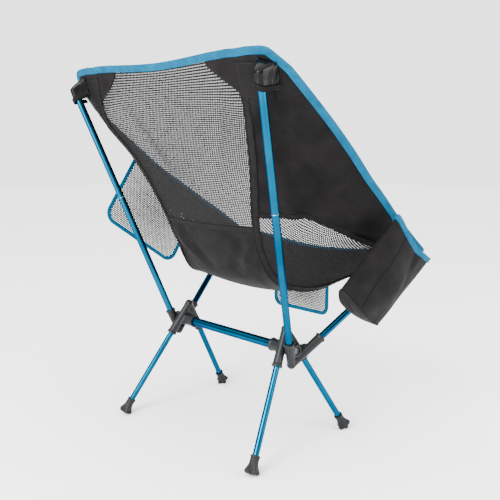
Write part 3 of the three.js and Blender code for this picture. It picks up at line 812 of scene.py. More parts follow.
def creased_surface(station, column):
    """Column runs from 0 at the centre line through 1 at the seam to 2 at the outer edge."""
    station, column = np.broadcast_arrays(np.asarray(station, float), np.asarray(column, float))
    over = np.abs(column)
    across = over[..., None]
    centre, seam, edge = (curve(p, station) for p in (CENTRE_LINE, SEAM_LINE, EDGE_LINE))
    inner = centre + (seam - centre) * across ** 2
    inner[..., 0] = seam[..., 0] * over
    outer = seam + (edge - seam) * (across - 1)
    point = np.where(across <= 1, inner, outer)
    lift = TOP_LIFT * (1 - 0.18 * (1 - np.cos(math.pi * np.clip((over - 0.4) / 0.6, 0, 1))))
    lift = lift + CORNER_LIFT * np.sin(math.pi * np.clip((over - 1) / 1.1, 0, 1))
    point = point + LIFT_WAY * (lift * np.clip(1 - station / 1.5, 0, 1) ** 1.5)[..., None]
    point[..., 0] *= np.where(column < 0, -1, 1)
    return point


def rounded(station, column):
    """Moves points near the sling's four corners inwards, so that the square corners become round."""
    station, column = np.broadcast_arrays(np.asarray(station, float), np.asarray(column, float))
    s, c = station.copy(), np.abs(column)
    for radius, from_end in ((BACK_ROUND, False), (FRONT_ROUND, True)):
        depth = LAST - s if from_end else s
        a = np.clip(1 - depth / radius, 0, 1)
        b = np.clip(1 - (2 - c) / radius, 0, 1)
        a, b = a * np.sqrt(1 - b * b / 2), b * np.sqrt(1 - a * a / 2)
        near = (depth < radius) & (c > 2 - radius)
        moved = radius * (1 - a)
        s = np.where(near, LAST - moved if from_end else moved, s)
        c = np.where(near, 2 - radius * (1 - b), c)
    return s, np.where(column < 0, -c, c)


# Soft folds: (station, column) of both ends, half width and height in metres; below zero is a groove.
FOLD_GAIN = 1.7         # every height is raised by this
FOLDS = [
    (1.05, 1.30, 4.3, 1.42, 0.013, -0.0045), (1.05, 1.45, 3.6, 1.75, 0.011, 0.0040),
    (1.1, 1.12, 5.2, 1.28, 0.012, 0.0042), (2.6, 1.55, 5.6, 1.86, 0.010, -0.0032),
    (3.4, 1.25, 5.9, 1.66, 0.008, 0.0030), (4.2, 1.45, 6.6, 1.8, 0.008, -0.0026),
    (3.1, 0.95, 4.4, 0.45, 0.011, 0.0030), (3.2, 0.75, 4.7, 0.2, 0.014, -0.0026),
    (3.6, 1.0, 5.4, 0.62, 0.010, -0.0024), (5.5, 0.9, 7.6, 0.78, 0.012, 0.0028),
    (6.3, 0.97, 8.0, 0.9, 0.010, -0.0026), (0.75, 0.7, 2.3, 0.35, 0.016, -0.0018),
]
NORMAL_STEP, NORMAL_REACH = 0.01, 0.05      # in stations and in columns


def surface_normal(station, column):
    a0, a1 = np.maximum(station - NORMAL_STEP, 0), np.minimum(station + NORMAL_STEP, LAST)
    down = bare_surface(a1, column) - bare_surface(a0, column)
    # The wide step across keeps the crease along the seam soft.
    over = bare_surface(station, column + NORMAL_REACH) - bare_surface(station, column - NORMAL_REACH)
    return unit(np.cross(over, down))


def relief(points, column):
    """Height of the folds at points of the bare surface; they fade out at the outer edge."""
    height = np.zeros(points.shape[:-1])
    folded = points.copy()
    folded[..., 0] = np.abs(folded[..., 0])
    for s0, c0, s1, c1, width, amount in FOLDS:
        start, end = bare_surface(s0, c0), bare_surface(s1, c1)
        way = end - start
        t = np.clip((folded - start) @ way / (way @ way), 0, 1)
        off = np.linalg.norm(folded - (start + t[..., None] * way), axis=-1)
        tapered = np.sin(math.pi * np.clip(t, 0.02, 0.98)) ** 0.7
        height += FOLD_GAIN * amount * np.exp(-(off / width) ** 2) * tapered
    edge = np.clip((2 - np.abs(column)) / 0.25, 0, 1)
    return height * edge


def sling(station, column, height=0.0):
    """A point of the sling in the row frame, at a height above its middle surface; with its normal."""
    s, c = rounded(station, column)
    point, normal = bare_surface(s, c), surface_normal(s, c)
    point = point + normal * (relief(point, c) + height)[..., None]
    return point + ORIGIN, normal


class ClothGuide:
    """Finds the sling's surface nearest to any point of one quarter."""

    def __init__(self, first, last, sign):
        s, c = np.meshgrid(np.linspace(first, last, 320), np.linspace(0, 2, 150), indexing="ij")
        points, normals = sling(s, c * sign)
        self.points, self.normals = points.reshape(-1, 3), normals.reshape(-1, 3)
        self.tree = KDTree(len(self.points))
        for k, point in enumerate(self.points):
            self.tree.insert(point, k)
        self.tree.balance()

    def drop(self, points):
        """The points moved square onto the surface, and the surface's normals there."""
        flat = np.asarray(points).reshape(-1, 3)
        found = [self.tree.find_n(point, 4) for point in flat]
        index = np.array([[hit[1] for hit in hits] for hits in found])
        weight = np.array([[1 / (hit[2] + 0.0004) for hit in hits] for hits in found])
        weight = (weight / weight.sum(1, keepdims=True))[..., None]
        near, normal = (self.points[index] * weight).sum(1), unit((self.normals[index] * weight).sum(1))
        off = ((flat - near) * normal).sum(1, keepdims=True)
        return (flat - normal * off).reshape(np.shape(points)), normal.reshape(np.shape(points))


def hang(piece):
    """Bakes a piece's placement into its mesh, and returns it."""
    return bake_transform(piece)


def declare(piece, width, length, area, held="stretched"):
    """Works out the length that a cut of the given area needs within its width; nothing is kept, and the
    piece is not used.
    """
    length = max(length, 1.001 * area / width)


def area_of(points):
    """Area of a grid of points."""
    a, b = points[1:, :-1] - points[:-1, :-1], points[:-1, 1:] - points[:-1, :-1]
    c, d = points[:-1, 1:] - points[1:, 1:], points[1:, :-1] - points[1:, 1:]
    return (np.linalg.norm(np.cross(a, b), axis=-1) + np.linalg.norm(np.cross(c, d), axis=-1)).sum() / 2


# ---- cloth panels --------------------------------------------------------------------------------
CLOTH_STEP = 0.0045
CLOTH_THICK = 0.0009
PANEL_INSET = 0.02      # stations by which panels stop short of the sling's edge, under the binding
PATCH_THICK = 0.0024
# Step, length, width and height of the stitches of each kind of seam; the ladder's rungs lie across.
PATCH_SEAM = (0.0034, 0.0026, 0.0009, 0.0004)
POCKET_SEAM = (0.0032, 0.0024, 0.0009, 0.0004)
BINDING_SEAM = (0.0036, 0.0026, 0.0009, 0.0004)
BAG_SEAM = (0.0034, 0.0026, 0.0008, 0.0004)
BAND_SEAM = (0.0024, 0.002, 0.0008, 0.0004)
LADDER_RUNGS = (0.0036, 0.0072, 0.0011, 0.0005, True)


def cloth(name, station, column, sign, thickness, extra=(), materials=(), height=0.0, flat=False):
    """A panel over a grid of stations and columns. Returns the piece and its flat size and area."""
    points, normals = sling(station, column * sign, height)
    rows, cols = station.shape
    faces = grid_faces(rows, cols)
    if sign > 0:
        faces = [tuple(reversed(f)) for f in faces]
    uv = np.stack([lengths(points, 1), lengths(points, 0)], -1).reshape(-1, 2)
    verts, faces = thicken(points.reshape(-1, 3), normals.reshape(-1, 3), faces, thickness)
    parts = [(verts, faces, np.concatenate([uv, uv]), 0), *extra]
    verts, faces, uv, index = join(parts)
    piece = make(name, verts, faces, [OXFORD, *materials], uv, index, 60)
    width, length = lengths(points, 1)[:, -1].max(), lengths(points, 0)[-1].max()
    if flat:
        width, length = extents(points.reshape(-1, 3))
    return piece, (width, length, area_of(points))


def grid(first, last, rows, cols):
    """Stations from first to last against shares from 0 to 1."""
    return np.meshgrid(np.linspace(first, last, rows), np.linspace(0, 1, cols), indexing="ij")


def rows_for(start, end, points=CENTRE_LINE):
    run = lengths(curve(points, np.linspace(start, end, 60)), 0)[-1]
    return max(4, int(run / CLOTH_STEP))


def side_inner(station):
    """Column where the black side panel begins: the seam, then its own hem."""
    past = np.maximum(np.asarray(station, float) - SIDE_HEM, 0)
    return 1 + HEM_SPREAD * (1 - np.exp(-past / HEM_EASE))


def add_seat(side, sign):
    station, share = grid(HEM, LAST - PANEL_INSET, rows_for(HEM, LAST), 44)
    piece, size = cloth(f"seat_cloth_{side}", station, share, sign, CLOTH_THICK)
    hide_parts("seat_panel")
    declare(piece, *size)
    hang(piece)


def add_side_panel(side, sign):
    for end, first, last in (("back", PANEL_INSET, SPLIT), ("front", SPLIT, LAST - PANEL_INSET)):
        station, share = grid(first, last, rows_for(first, last, EDGE_LINE), 36)
        inner = side_inner(station)
        column = inner + (2 - inner) * share
        piece, size = cloth(f"side_cloth_{end}_{side}", station, column, sign, CLOTH_THICK)
        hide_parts(f"side_panel_{side}")
        declare(piece, *size)
        hang(piece)


# A patch is deepest at the outer edge and narrows to its inner corner on the top or front edge.
PATCH_EDGE = 1.94       # the patches and the edge binding overlap by a few millimetres
# Depth at the seam and what is added at the edge, in stations, and the column of the inner corner.
PATCHES = {"back": (0.88, 0.24, 0.54), "front": (0.86, 0.2, 0.6)}


def patch_grid(end, rows, cols):
    a, b = grid(0, 1, rows, cols)
    seam_depth, extra_depth, inner = PATCHES[end]
    depth = a * (seam_depth + extra_depth * (1 - np.exp(-b / 0.12)))
    column = inner + (1 - inner) * a ** 1.8     # the inner border bows in
    column = column + (PATCH_EDGE - column) * b
    depth = np.maximum(depth, 2 - PATCH_EDGE)
    return (depth if end == "back" else LAST - depth), column


def add_patch(end, side, sign):
    rows, cols = 34, 40
    station, column = patch_grid(end, rows, cols)
    if end == "front":
        station, column = station[::-1], column[::-1]
    # Two rows of stitches run along both inner borders, on both faces.
    extra = []
    for inset in (1, 2):
        row = rows - 1 - inset if end == "back" else inset
        lines = [(station[row, inset:], column[row, inset:]), (station[:, inset], column[:, inset])]
        for s, c in lines:
            for height in (PATCH_THICK / 2 + 0.0001, -PATCH_THICK / 2 - 0.0001):
                path, normal = sling(s, c * sign, height)
                extra.append(sewn(path, normal, PATCH_SEAM))
    piece, size = cloth(f"{end}_patch_{side}", station, column, sign, PATCH_THICK, extra,
                        [BLACK_THREAD], flat=True)
    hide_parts(f"corner_patch_{end}_{side}")
    declare(piece, *size)
    hang(piece)


# A second layer lies on each patch under the pole pocket: its corners, as (depth, column).
POLE_PAD = [(0.24, 0.97), (0.36, 1.72), (1.06, 1.42), (0.88, 0.93)]
PAD_THICK = 0.0011


def add_pole_pad(end, side, sign):
    rows, cols = 22, 16
    a, b = grid(0, 1, rows, cols)
    shares = ((1 - a) * (1 - b), (1 - a) * b, a * b, a * (1 - b))
    depth, column = (sum(share * corner[k] for share, corner in zip(shares, POLE_PAD)) for k in (0, 1))
    station = depth
    if end == "front":
        station, column = LAST - depth[::-1], column[::-1]
    height = PATCH_THICK / 2 + PAD_THICK / 2 + 0.0001
    extra = []
    between = slice(1, -1)
    for row, col in ((between, 1), (between, cols - 2), (1, between), (rows - 2, between)):
        path, normal = sling(station[row, col], column[row, col] * sign, height + PAD_THICK / 2)
        extra.append(sewn(path, normal, POCKET_SEAM))
    piece, size = cloth(f"{end}_pole_pad_{side}", station, column, sign, PAD_THICK, extra,
                        [BLACK_THREAD], height, True)
    declare(piece, *size)
    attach(piece, f"corner_{end}_{side}")


# ---- tapes along the seams and hems --------------------------------------------------------------
# Half sections as (across, up) in millimetres; the other half is the mirror image below the cloth.
def both_faces(half):
    half = [(a * MM, b * MM) for a, b in half]
    return half + [(a, -b) for a, b in reversed(half) if b > 0]


STRIP_SECTION = both_faces([(-7, 0), (-6.8, 1.1), (-6.1, 1.75), (-5.2, 1.5), (-4.3, 1.15), (0, 1.1),
                            (4.3, 1.15), (5.2, 1.5), (6.1, 1.75), (6.8, 1.1), (7, 0)])
HEM_SECTION = both_faces([(-5, 0), (-4.8, 1.1), (-4, 1.45), (-2.6, 1.15), (2.6, 1.15), (4, 1.45),
                          (4.8, 1.1), (5, 0)])
BAND_SECTION = both_faces([(-4.2, 0), (-3.9, 0.55), (-3.2, 0.8), (3.2, 0.8), (3.9, 0.55), (4.2, 0)])
TAPE_STEP = 0.004
TAPE_TOP = 0.00115      # height of a tape's thread rows above the middle surface


def tape_on_sling(name, station, column, sign, section, rungs):
    """A sewn tape centred on a line of stations and columns, with thread rows on both faces."""
    middle, _ = sling(station, column * sign)
    keep = lengths(middle, 0)
    count = int(keep[-1] / TAPE_STEP)
    at = np.linspace(0, keep[-1], count)
    station, column = np.interp(at, keep, station), np.interp(at, keep, column)
    path, normal = sling(station, column * sign)
    tangent = unit(np.gradient(path, axis=0))
    across = unit(np.cross(tangent, normal))
    up = np.cross(across, tangent)
    verts, faces, uv = sweep(path, across, up, section)
    parts = [(verts, faces, uv, 0)]
    for face in (1, -1):
        if rungs:
            line = path + up * face * TAPE_TOP
            parts.append(sewn(line, up * face, LADDER_RUNGS))
        else:
            for offset in (-0.0018, 0.0018):
                line = path + across * offset + up * face * TAPE_TOP
                parts.append(sewn(line, up * face, PATCH_SEAM))
    verts, faces, uv, index = join(parts)
    return make(name, verts, faces, [BLACK_TAPE, BLACK_THREAD], uv, index, 50)


def add_seam_tapes(side, sign):
    under_patch = 0.8
    for end, first, last in (("back", under_patch, SPLIT), ("front", SPLIT, LAST - under_patch)):
        station = np.linspace(first, last, 200)
        column = np.ones_like(station)
        piece = tape_on_sling(f"seam_tape_{end}_{side}", station, column, sign, STRIP_SECTION, True)
        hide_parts(f"seam_strip_{side}")
        hang(piece)
    station = SIDE_HEM + (SIDE_HEM_END - SIDE_HEM) * np.linspace(0, 1, 400) ** 2
    piece = tape_on_sling(f"side_hem_{side}", station, side_inner(station), sign, HEM_SECTION, False)
    hang(piece)


def add_back_hem():
    column = np.linspace(-1, 1, 200)
    piece = tape_on_sling("back_hem", np.full(200, HEM), column, 1, HEM_SECTION, False)
    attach(piece, "frame")


# ---- blue edge binding ---------------------------------------------------------------------------
def binding_section(width, half):
    """A tape folded over an edge: round outside, with a bead along each inner border."""
    bend = np.linspace(math.radians(270), math.radians(90), 11)
    nose = [(half + half * math.cos(a), half * math.sin(a)) for a in bend]
    top = [(width * 0.3, half), (width * 0.5, half * 0.95), (width * 0.7, half * 0.92),
           (width - 2.2 * MM, half * 0.92), (width - 1.2 * MM, half * 1.08), (width - 0.4 * MM, half * 0.95),
           (width, half * 0.5)]
    return nose + top + [(a, -b) for a, b in reversed(top)]


EDGE_WIDTH, POCKET_EDGE_WIDTH = 0.012, 0.008
EDGE_SECTION = binding_section(EDGE_WIDTH, 0.0021)
POCKET_SECTION = binding_section(POCKET_EDGE_WIDTH, 0.0016)
OVERHANG = 0.001        # how far the binding stands out past the cloth's edge
NOSE_REACH = 2.2        # past this many half thicknesses the tape lies along the cloth
SEAM_INSET = 0.0034     # from the binding's inner border to its thread rows


def binding(name, path, inward, normal, section, width, guide=None):
    """A folded tape along a path, with thread rows on both faces; a guide makes it follow the cloth."""
    tangent = unit(np.gradient(path, axis=0))
    up = unit(normal)
    inward = unit(inward - tangent * (inward * tangent).sum(1, keepdims=True))
    up = unit(up - tangent * (up * tangent).sum(1, keepdims=True))
    up = unit(up - inward * (up * inward).sum(1, keepdims=True))
    verts, faces, uv = sweep(path, inward, up, section)
    if guide:
        verts = verts.reshape(len(path), -1, 3)
        for k, (reach, height) in enumerate(section):
            if reach > NOSE_REACH * max(b for _, b in section):
                base, square = guide.drop(path + inward * reach)
                square = square * np.sign((square * up).sum(1, keepdims=True))
                verts[:, k] = base + square * height
        verts = verts.reshape(-1, 3)
    if np.dot(np.cross(inward[0], up[0]), tangent[0]) > 0:
        faces = [tuple(reversed(f)) for f in faces]
    parts = [(verts, faces, uv, 0)]
    half = max(b for _, b in section) * 0.88
    for face in (1, -1):
        line, square = path + inward * (width - SEAM_INSET), up
        if guide:
            line, square = guide.drop(line)
            square = square * np.sign((square * up).sum(1, keepdims=True))
        line = line + square * face * half
        parts.append(sewn(line, square * face, BINDING_SEAM))
    verts, faces, uv, index = join(parts)
    return make(name, verts, faces, [BLUE_TAPE, BLUE_THREAD], uv, index, 50)


def outline(end):
    """The sling's edge in one left-hand quarter, as stations and columns."""
    count, past_corner = 260, 0.004
    if end == "back":
        corner = [(0.0, c) for c in np.linspace(0, 2, count)]
        corner += [(s, 2.0) for s in np.linspace(past_corner, SPLIT, count)]
    else:
        corner = [(s, 2.0) for s in np.linspace(SPLIT, LAST - past_corner, count)]
        corner += [(float(LAST), c) for c in np.linspace(2, 0, count)]
    edge = np.array(corner)
    return edge[:, 0], edge[:, 1]


def add_edge_binding(end, side, sign):
    station, column = outline(end)
    path, _ = sling(station, column * sign)
    run = lengths(path, 0)
    at = np.linspace(0, run[-1], int(run[-1] / 0.0035))
    path = np.stack([np.interp(at, run, path[:, k]) for k in range(3)], 1)
    s, c = rounded(station, column * sign)
    s, c = np.interp(at, run, s), np.interp(at, run, c)
    normal = surface_normal(s, c)
    tangent = unit(np.gradient(path, axis=0))
    inward = unit(np.cross(normal, tangent))
    middle, _ = sling(4.0 if end == "back" else 6.0, 0.4 * sign)
    if np.dot(inward[len(inward) // 3], middle - path[len(path) // 3]) < 0:
        inward = -inward
    piece = binding(f"edge_binding_{end}_{side}", path - inward * OVERHANG, inward, normal, EDGE_SECTION,
                    EDGE_WIDTH, GUIDES[end, side])
    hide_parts(f"side_binding_{side}", "top_binding" if end == "back" else "front_binding")
    hang(piece)


# ---- open net cloth ------------------------------------------------------------------------------
NET_PITCH = 0.0039          # between neighbouring holes of a row
NET_HOLE = 0.48             # a hole's size as a share of its cell
NET_THICK = 0.0006
POCKET_HOLE = 0.56          # the pockets' two layers are of a more open net
BACK_NET_TOP = 0.03         # station of the back net's upper border, under the binding
BACK_NET_REACH, SIDE_NET_REACH = 0.225, 0.2     # flat width that each net is cut from


def net_plan(width, length, inside, hole=NET_HOLE):
    """Honeycomb cells with a hole in each, over a flat width by length: flat points and faces."""
    pitch = NET_PITCH
    reach = pitch / math.sqrt(3)
    columns, rows = int(width / pitch) + 3, int(length / (1.5 * reach)) + 3
    j, i = np.meshgrid(np.arange(rows), np.arange(-1, columns), indexing="ij")
    centre = np.stack([(i + 0.5 * (j % 2)) * pitch, j * 1.5 * reach], -1)
    kept = inside(centre[..., 0], centre[..., 1])
    number = np.full(kept.shape, -1)
    number[kept] = np.arange(kept.sum())
    turn = np.radians(30 + 60 * np.arange(6))
    hexagon = np.stack([np.cos(turn), np.sin(turn)], 1) * reach * hole
    points = (centre[kept][:, None] + hexagon[None]).reshape(-1, 2)
    faces = []
    for row in range(rows):
        for col in range(columns + 1):
            me = number[row, col]
            if me < 0:
                continue
            odd = row % 2
            right = number[row, col + 1] if col < columns else -1
            above = row + 1 < rows
            upper_right = number[row + 1, col + odd] if above and col + odd <= columns else -1
            upper_left = number[row + 1, col - 1 + odd] if above and col - 1 + odd >= 0 else -1
            m, r, ur, ul = 6 * me, 6 * right, 6 * upper_right, 6 * upper_left
            if right >= 0:
                faces.append((m + 5, r + 3, r + 2, m))
            if upper_right >= 0:
                faces.append((m, ur + 4, ur + 3, m + 1))
            if upper_left >= 0:
                faces.append((m + 1, ul + 5, ul + 4, m + 2))
            if right >= 0 and upper_right >= 0:
                faces.append((m, r + 2, ur + 4))
            if upper_right >= 0 and upper_left >= 0:
                faces.append((m + 1, ur + 3, ul + 5))
    return points, faces


def net(name, plan, lift, flip):
    """Lifts a flat net to where it hangs. lift gives the points and normals for flat x and y."""
    flat, faces = plan
    points, normals = lift(flat[:, 0], flat[:, 1])
    if flip:
        faces = [tuple(reversed(f)) for f in faces]
    verts, faces = thicken(points, normals, faces, NET_THICK)
    return make(name, verts, faces, [NET], np.concatenate([flat, flat]))


def station_by_length(points, start, end):
    station = np.linspace(start, end, 400)
    run = lengths(curve(points, station), 0)
    return lambda length: np.interp(length, run, station), run[-1]


def add_back_net(side, sign):
    to_station, total = station_by_length(CENTRE_LINE, BACK_NET_TOP, HEM)

    def split(x, y):
        station = to_station(y)
        return station, x / curve(SEAM_LINE, station)[..., 0]

    def inside(x, y):
        _, column = split(x, y)
        return (column <= 1) & (x >= -NET_PITCH * 0.6) & (y <= total)

    def lift(x, y):
        station, column = split(np.maximum(x, 0), np.minimum(y, total))
        return sling(station, column * sign)

    plan = net_plan(BACK_NET_REACH, total, inside)
    piece = net(f"back_net_{side}", plan, lift, sign > 0)
    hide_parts("back_mesh_panel")
    rows = np.linspace(BACK_NET_TOP, HEM, 60)
    widths = curve(SEAM_LINE, rows)[:, 0]
    area = float(np.trapz(widths, lengths(curve(CENTRE_LINE, rows), 0)))
    declare(piece, widths.max(), total, area)
    hang(piece)


def add_side_net(side, sign):
    first, last = SIDE_HEM + 0.05, SIDE_HEM_END
    to_station, total = station_by_length(SEAM_LINE, first, last)

    def split(x, y):
        station = to_station(y)
        width = np.linalg.norm(curve(EDGE_LINE, station) - curve(SEAM_LINE, station), axis=-1)
        return station, 1 + x / width, width

    def inside(x, y):
        station, column, width = split(x, y)
        return (column <= side_inner(station) + 0.001 / width) & (x >= -0.002) & (y <= total)

    def lift(x, y):
        station, column, _ = split(np.maximum(x, -0.004), np.minimum(y, total))
        return sling(station, np.clip(column, 0.97, 2) * sign)

    piece = net(f"side_net_{side}", net_plan(SIDE_NET_REACH, total, inside), lift, sign > 0)
    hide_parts(f"lower_side_mesh_{side}")
    rows, share = np.meshgrid(np.linspace(first, last, 80), np.linspace(0, 1, 12), indexing="ij")
    column = 1 + (side_inner(rows) - 1) * share
    surface = bare_surface(rows, column)
    area, widest = area_of(surface), lengths(surface, 1)[:, -1].max()
    declare(piece, widest, total, area)
    hang(piece)


# ---- flat net pockets ----------------------------------------------------------------------------
def pocket_outline(width, height, radius):
    """A U with round lower corners, from the upper left down and round to the upper right."""
    half = width / 2
    turn = np.linspace(0, math.pi / 2, 14)
    left = [(-half + radius * (1 - math.cos(a)), -height + radius * (1 - math.sin(a))) for a in turn]
    right = [(-x, y) for x, y in reversed(left)]
    return np.array([(-half, 0.0), *left, *right, (half, 0.0)])


def add_net_pocket(name, node, origin, forward, up, size, layers, hold):
    """A pocket of net cloth edged with tape, which hangs from origin: each piece it makes is handed to hold.
    """
    width, height, radius = size
    forward = unit(forward)
    up = unit(np.asarray(up) - forward * np.dot(up, forward))
    out = np.cross(forward, up)

    def lift_at(depth):
        def lift(x, y):
            x, y = x - width / 2, -y
            across = np.clip(1 - (2 * x / width) ** 2, 0, 1)
            belly = depth * across * np.sin(math.pi * np.clip(-y / height, 0, 1))
            points = origin + forward * x[:, None] + up * y[:, None] + out * belly[:, None]
            return points, np.tile(out, (len(x), 1))
        return lift

    def inside(x, y):
        x, y = np.abs(x - width / 2), y
        in_x, in_y = width / 2 - 0.002 - x, height - 0.002 - y
        corner = np.hypot(radius - in_x, radius - in_y)
        return (in_x > 0) & (in_y > 0) & ((in_x > radius) | (in_y > radius) | (corner < radius))

    plan = net_plan(width, height, inside, POCKET_HOLE)
    for label, depth in layers:
        layer = net(f"{name}_{label}", plan, lift_at(depth), False)
        declare(layer, width, height, (width - 0.006) * (height - 0.006) - 0.43 * radius ** 2, "hung")
        hold(layer)
    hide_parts(node)
    flat = pocket_outline(width, height, radius)
    path = origin + forward * flat[:, :1] + up * flat[:, 1:]
    path, tangent = resample(path, 0.003)
    inward = unit(np.cross(np.tile(out, (len(path), 1)), tangent))
    centre = origin - up * height / 2
    if np.dot(inward[len(path) // 2], centre - path[len(path) // 2]) < 0:
        inward = -inward
    normal = np.tile(out, (len(path), 1))
    edge = binding(f"{name}_binding", path - inward * OVERHANG, inward, normal, POCKET_SECTION,
                   POCKET_EDGE_WIDTH)
    hold(edge)


# Each pocket's width, height and corner radius, and the bellies of its two layers.
SIDE_POCKET, SIDE_BELLIES = (0.190, 0.160, 0.024), (("outer", 0.0046), ("inner", 0.0036))
SEAT_POCKET, SEAT_BELLIES = (0.146, 0.099, 0.018), (("outer", 0.0026), ("inner", 0.0016))
SIDE_POCKET_TOP = (0.273, -0.073, 0.457)
SEAT_POCKET_TOP = (0.008, -0.204, 0.281)


def add_net_pockets():
    forward, up = unit((-0.1, -0.8, -0.59)), np.array([0.08, -0.6, 0.8])
    up = unit(up - forward * np.dot(up, forward))
    top = place(SIDE_POCKET_TOP) - up * 0.004 + forward * 0.006
    add_net_pocket("side_net_pocket", "mesh_side_pocket", top, forward, up, SIDE_POCKET, SIDE_BELLIES,
                   lambda piece: hang(piece))
    add_net_pocket("seat_net_pocket", "under_seat_mesh_pocket", place(SEAT_POCKET_TOP), (1.0, 0, 0),
                   (0, 0, 1.0), SEAT_POCKET, SEAT_BELLIES, lambda piece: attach(piece, "frame"))


# ---- bottle pocket -------------------------------------------------------------------------------
BOTTLE_MOUTH = place((-0.271, -0.180, 0.365))
BOTTLE_FLOOR = place((-0.257, -0.034, 0.256))
EDGE_DIRECTION = unit((0.06, -0.8, -0.597))
MOUTH_SAG = 0.085       # how far the mouth's middle sags, as a share of the bag's depth
BAG_WALL = 0.001
BAG_HALF_WIDTH, BAG_TAPER = 0.074, 0.010        # at the mouth, and how much is lost by the floor
BAG_HALF_DEPTH, BAG_BULGE, BAG_LIP = 0.013, 0.009, 0.005    # the mouth is drawn flatter by the lip
# The wall turns in under the floor and closes there: (share of the floor's width, drop) of two rings.
BAG_BOWL = [(0.55, 0.004), (0.001, 0.006)]
BAG_SEAMS = ((1.36 * math.pi, 0.16), (0.655 * math.pi, -0.16))     # each one's start round the bag, and bend
PIPING_R, BAG_SEAM_R = 0.0016, 0.0011


def bag_point(level, turn, inset=0.0):
    """A point of the bag's wall: level runs from 0 at the mouth to 1 at the floor, turn round it."""
    level, turn = np.broadcast_arrays(np.asarray(level, float), np.asarray(turn, float))
    depth = BOTTLE_FLOOR - BOTTLE_MOUTH
    outward = unit(np.cross(EDGE_DIRECTION, depth))
    half_width = BAG_HALF_WIDTH - BAG_TAPER * level - inset
    half_depth = BAG_HALF_DEPTH + BAG_BULGE * np.sin(math.pi * (0.15 + 0.55 * level)) - inset
    half_depth = half_depth - BAG_LIP * (1 - level) ** 2
    across, out = np.cos(turn), np.sin(turn)
    # Two slack waves, then a ridge and a groove that run down from the mouth.
    crease = 0.0020 * np.sin(3 * turn + 7 * level) * np.sin(math.pi * level)
    crease = crease + 0.0014 * np.sin(5 * turn - 9 * level + 1.3) * level
    crease = crease + 0.0022 * np.exp(-((turn - 1.0 - 0.5 * level) / 0.16) ** 2) * (1 - level) ** 2
    groove = np.exp(-((turn - 1.45 + 0.9 * level) / 0.14) ** 2) * np.clip(1.1 - level, 0, 1)
    crease = crease - 0.0024 * groove
    # The mouth sags between its ends, and the floor's ends lift a little.
    lift = 0.05 * level ** 3 * across ** 2 - MOUTH_SAG * (1 - level) ** 2 * (1 - across ** 2)
    point = BOTTLE_MOUTH + (level - lift)[..., None] * depth
    point = point + EDGE_DIRECTION * (half_width * across)[..., None]
    return point - outward * ((half_depth + crease) * out)[..., None]


def bag_wall(rows, cols, turn):
    """The bag's outer points, its closed wall as a part for join, and the way down."""
    level, angle = np.meshgrid(np.linspace(0, 1, rows), turn, indexing="ij")
    outer, inner = bag_point(level, angle), bag_point(level, angle, BAG_WALL)
    down = unit(BOTTLE_FLOOR - BOTTLE_MOUTH)
    middle = outer[-1].mean(0)
    out_rings, in_rings = [outer.reshape(-1, 3)], [inner.reshape(-1, 3)]
    for share, drop in BAG_BOWL:
        out_rings.append(middle + (outer[-1] - middle) * share + down * drop)
        in_rings.append(middle + (inner[-1] - middle) * share + down * (drop - BAG_WALL))
    total = rows + len(BAG_BOWL)
    faces = [tuple(reversed(f)) for f in grid_faces(total, cols, closed=True)]
    faces += grid_faces(total, cols, closed=True, start=total * cols)
    faces += [((j + 1) % cols, total * cols + (j + 1) % cols, total * cols + j, j) for j in range(cols)]
    run = np.concatenate([np.tile(lengths(outer[:, 0], 0)[:, None], (1, cols)).reshape(-1),
                          np.repeat([0.18, 0.2], cols)])
    around = np.tile(turn * 0.06, total)
    uv = np.tile(np.stack([around, run], 1), (2, 1))
    return outer, (np.concatenate(out_rings + in_rings), faces, uv, 0), down


def add_bottle_pocket():
    rows, cols = 44, 96
    turn = turns(cols)
    outer, wall, down = bag_wall(rows, cols, turn)
    parts = [wall]
    # Piping round the floor, and the curved seams between the bag's two wall panels.
    floor_ring = bag_point(np.full(cols, 0.985), turn)
    normals = unit(floor_ring - floor_ring.mean(0))
    piping = sweep(floor_ring, normals, np.tile(down, (cols, 1)), circle(PIPING_R, 8), closed=True)
    parts.append((*piping, 1))
    level = np.linspace(0.02, 0.97, 60)
    for base, bend in BAG_SEAMS:
        seam_turn = base + bend * level ** 1.5
        line = bag_point(level, seam_turn)
        tangent = unit(np.gradient(line, axis=0))
        normal = unit(line - bag_point(level, seam_turn, 0.002))
        side = unit(np.cross(tangent, normal))
        parts.append((*sweep(line, side, normal, circle(BAG_SEAM_R, 8)), 1))
        parts.append(sewn(line + side * 0.0028 + normal * 0.0002, normal, BAG_SEAM, 2))
    verts, faces, uv, index = join(parts)
    bag = make("bottle_bag", verts, faces, [OXFORD, BLACK_TAPE, BLACK_THREAD], uv, index, 60)
    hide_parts("bottle_pocket_inner", "bottle_pocket_outer")
    # The floor adds a little to the wall's height and area.
    girth = float(lengths(np.concatenate([outer[0], outer[0, :1]]), 0)[-1])
    height = float(np.linalg.norm(BOTTLE_FLOOR - BOTTLE_MOUTH)) + 0.01
    declare(bag, girth, height, area_of(np.concatenate([outer, outer[:, :1]], 1)) * 1.03, "hung")
    hang(bag)
    mouth = bag_point(np.zeros(cols), turn)
    centre = mouth.mean(0)
    inward = np.tile(down, (cols, 1))
    section = [(a - OVERHANG, b) for a, b in EDGE_SECTION]
    tangent = unit(np.roll(mouth, -1, 0) - np.roll(mouth, 1, 0))
    normal = unit(np.cross(inward, tangent))
    if np.dot(normal[cols // 4], mouth[cols // 4] - centre) < 0:
        normal = -normal
    ring, ring_faces, ring_uv = sweep(mouth, inward, normal, section, closed=True)
    rim = make("bottle_bag_binding", ring, ring_faces, [BLUE_TAPE], ring_uv, None, 50)
    hang(rim)


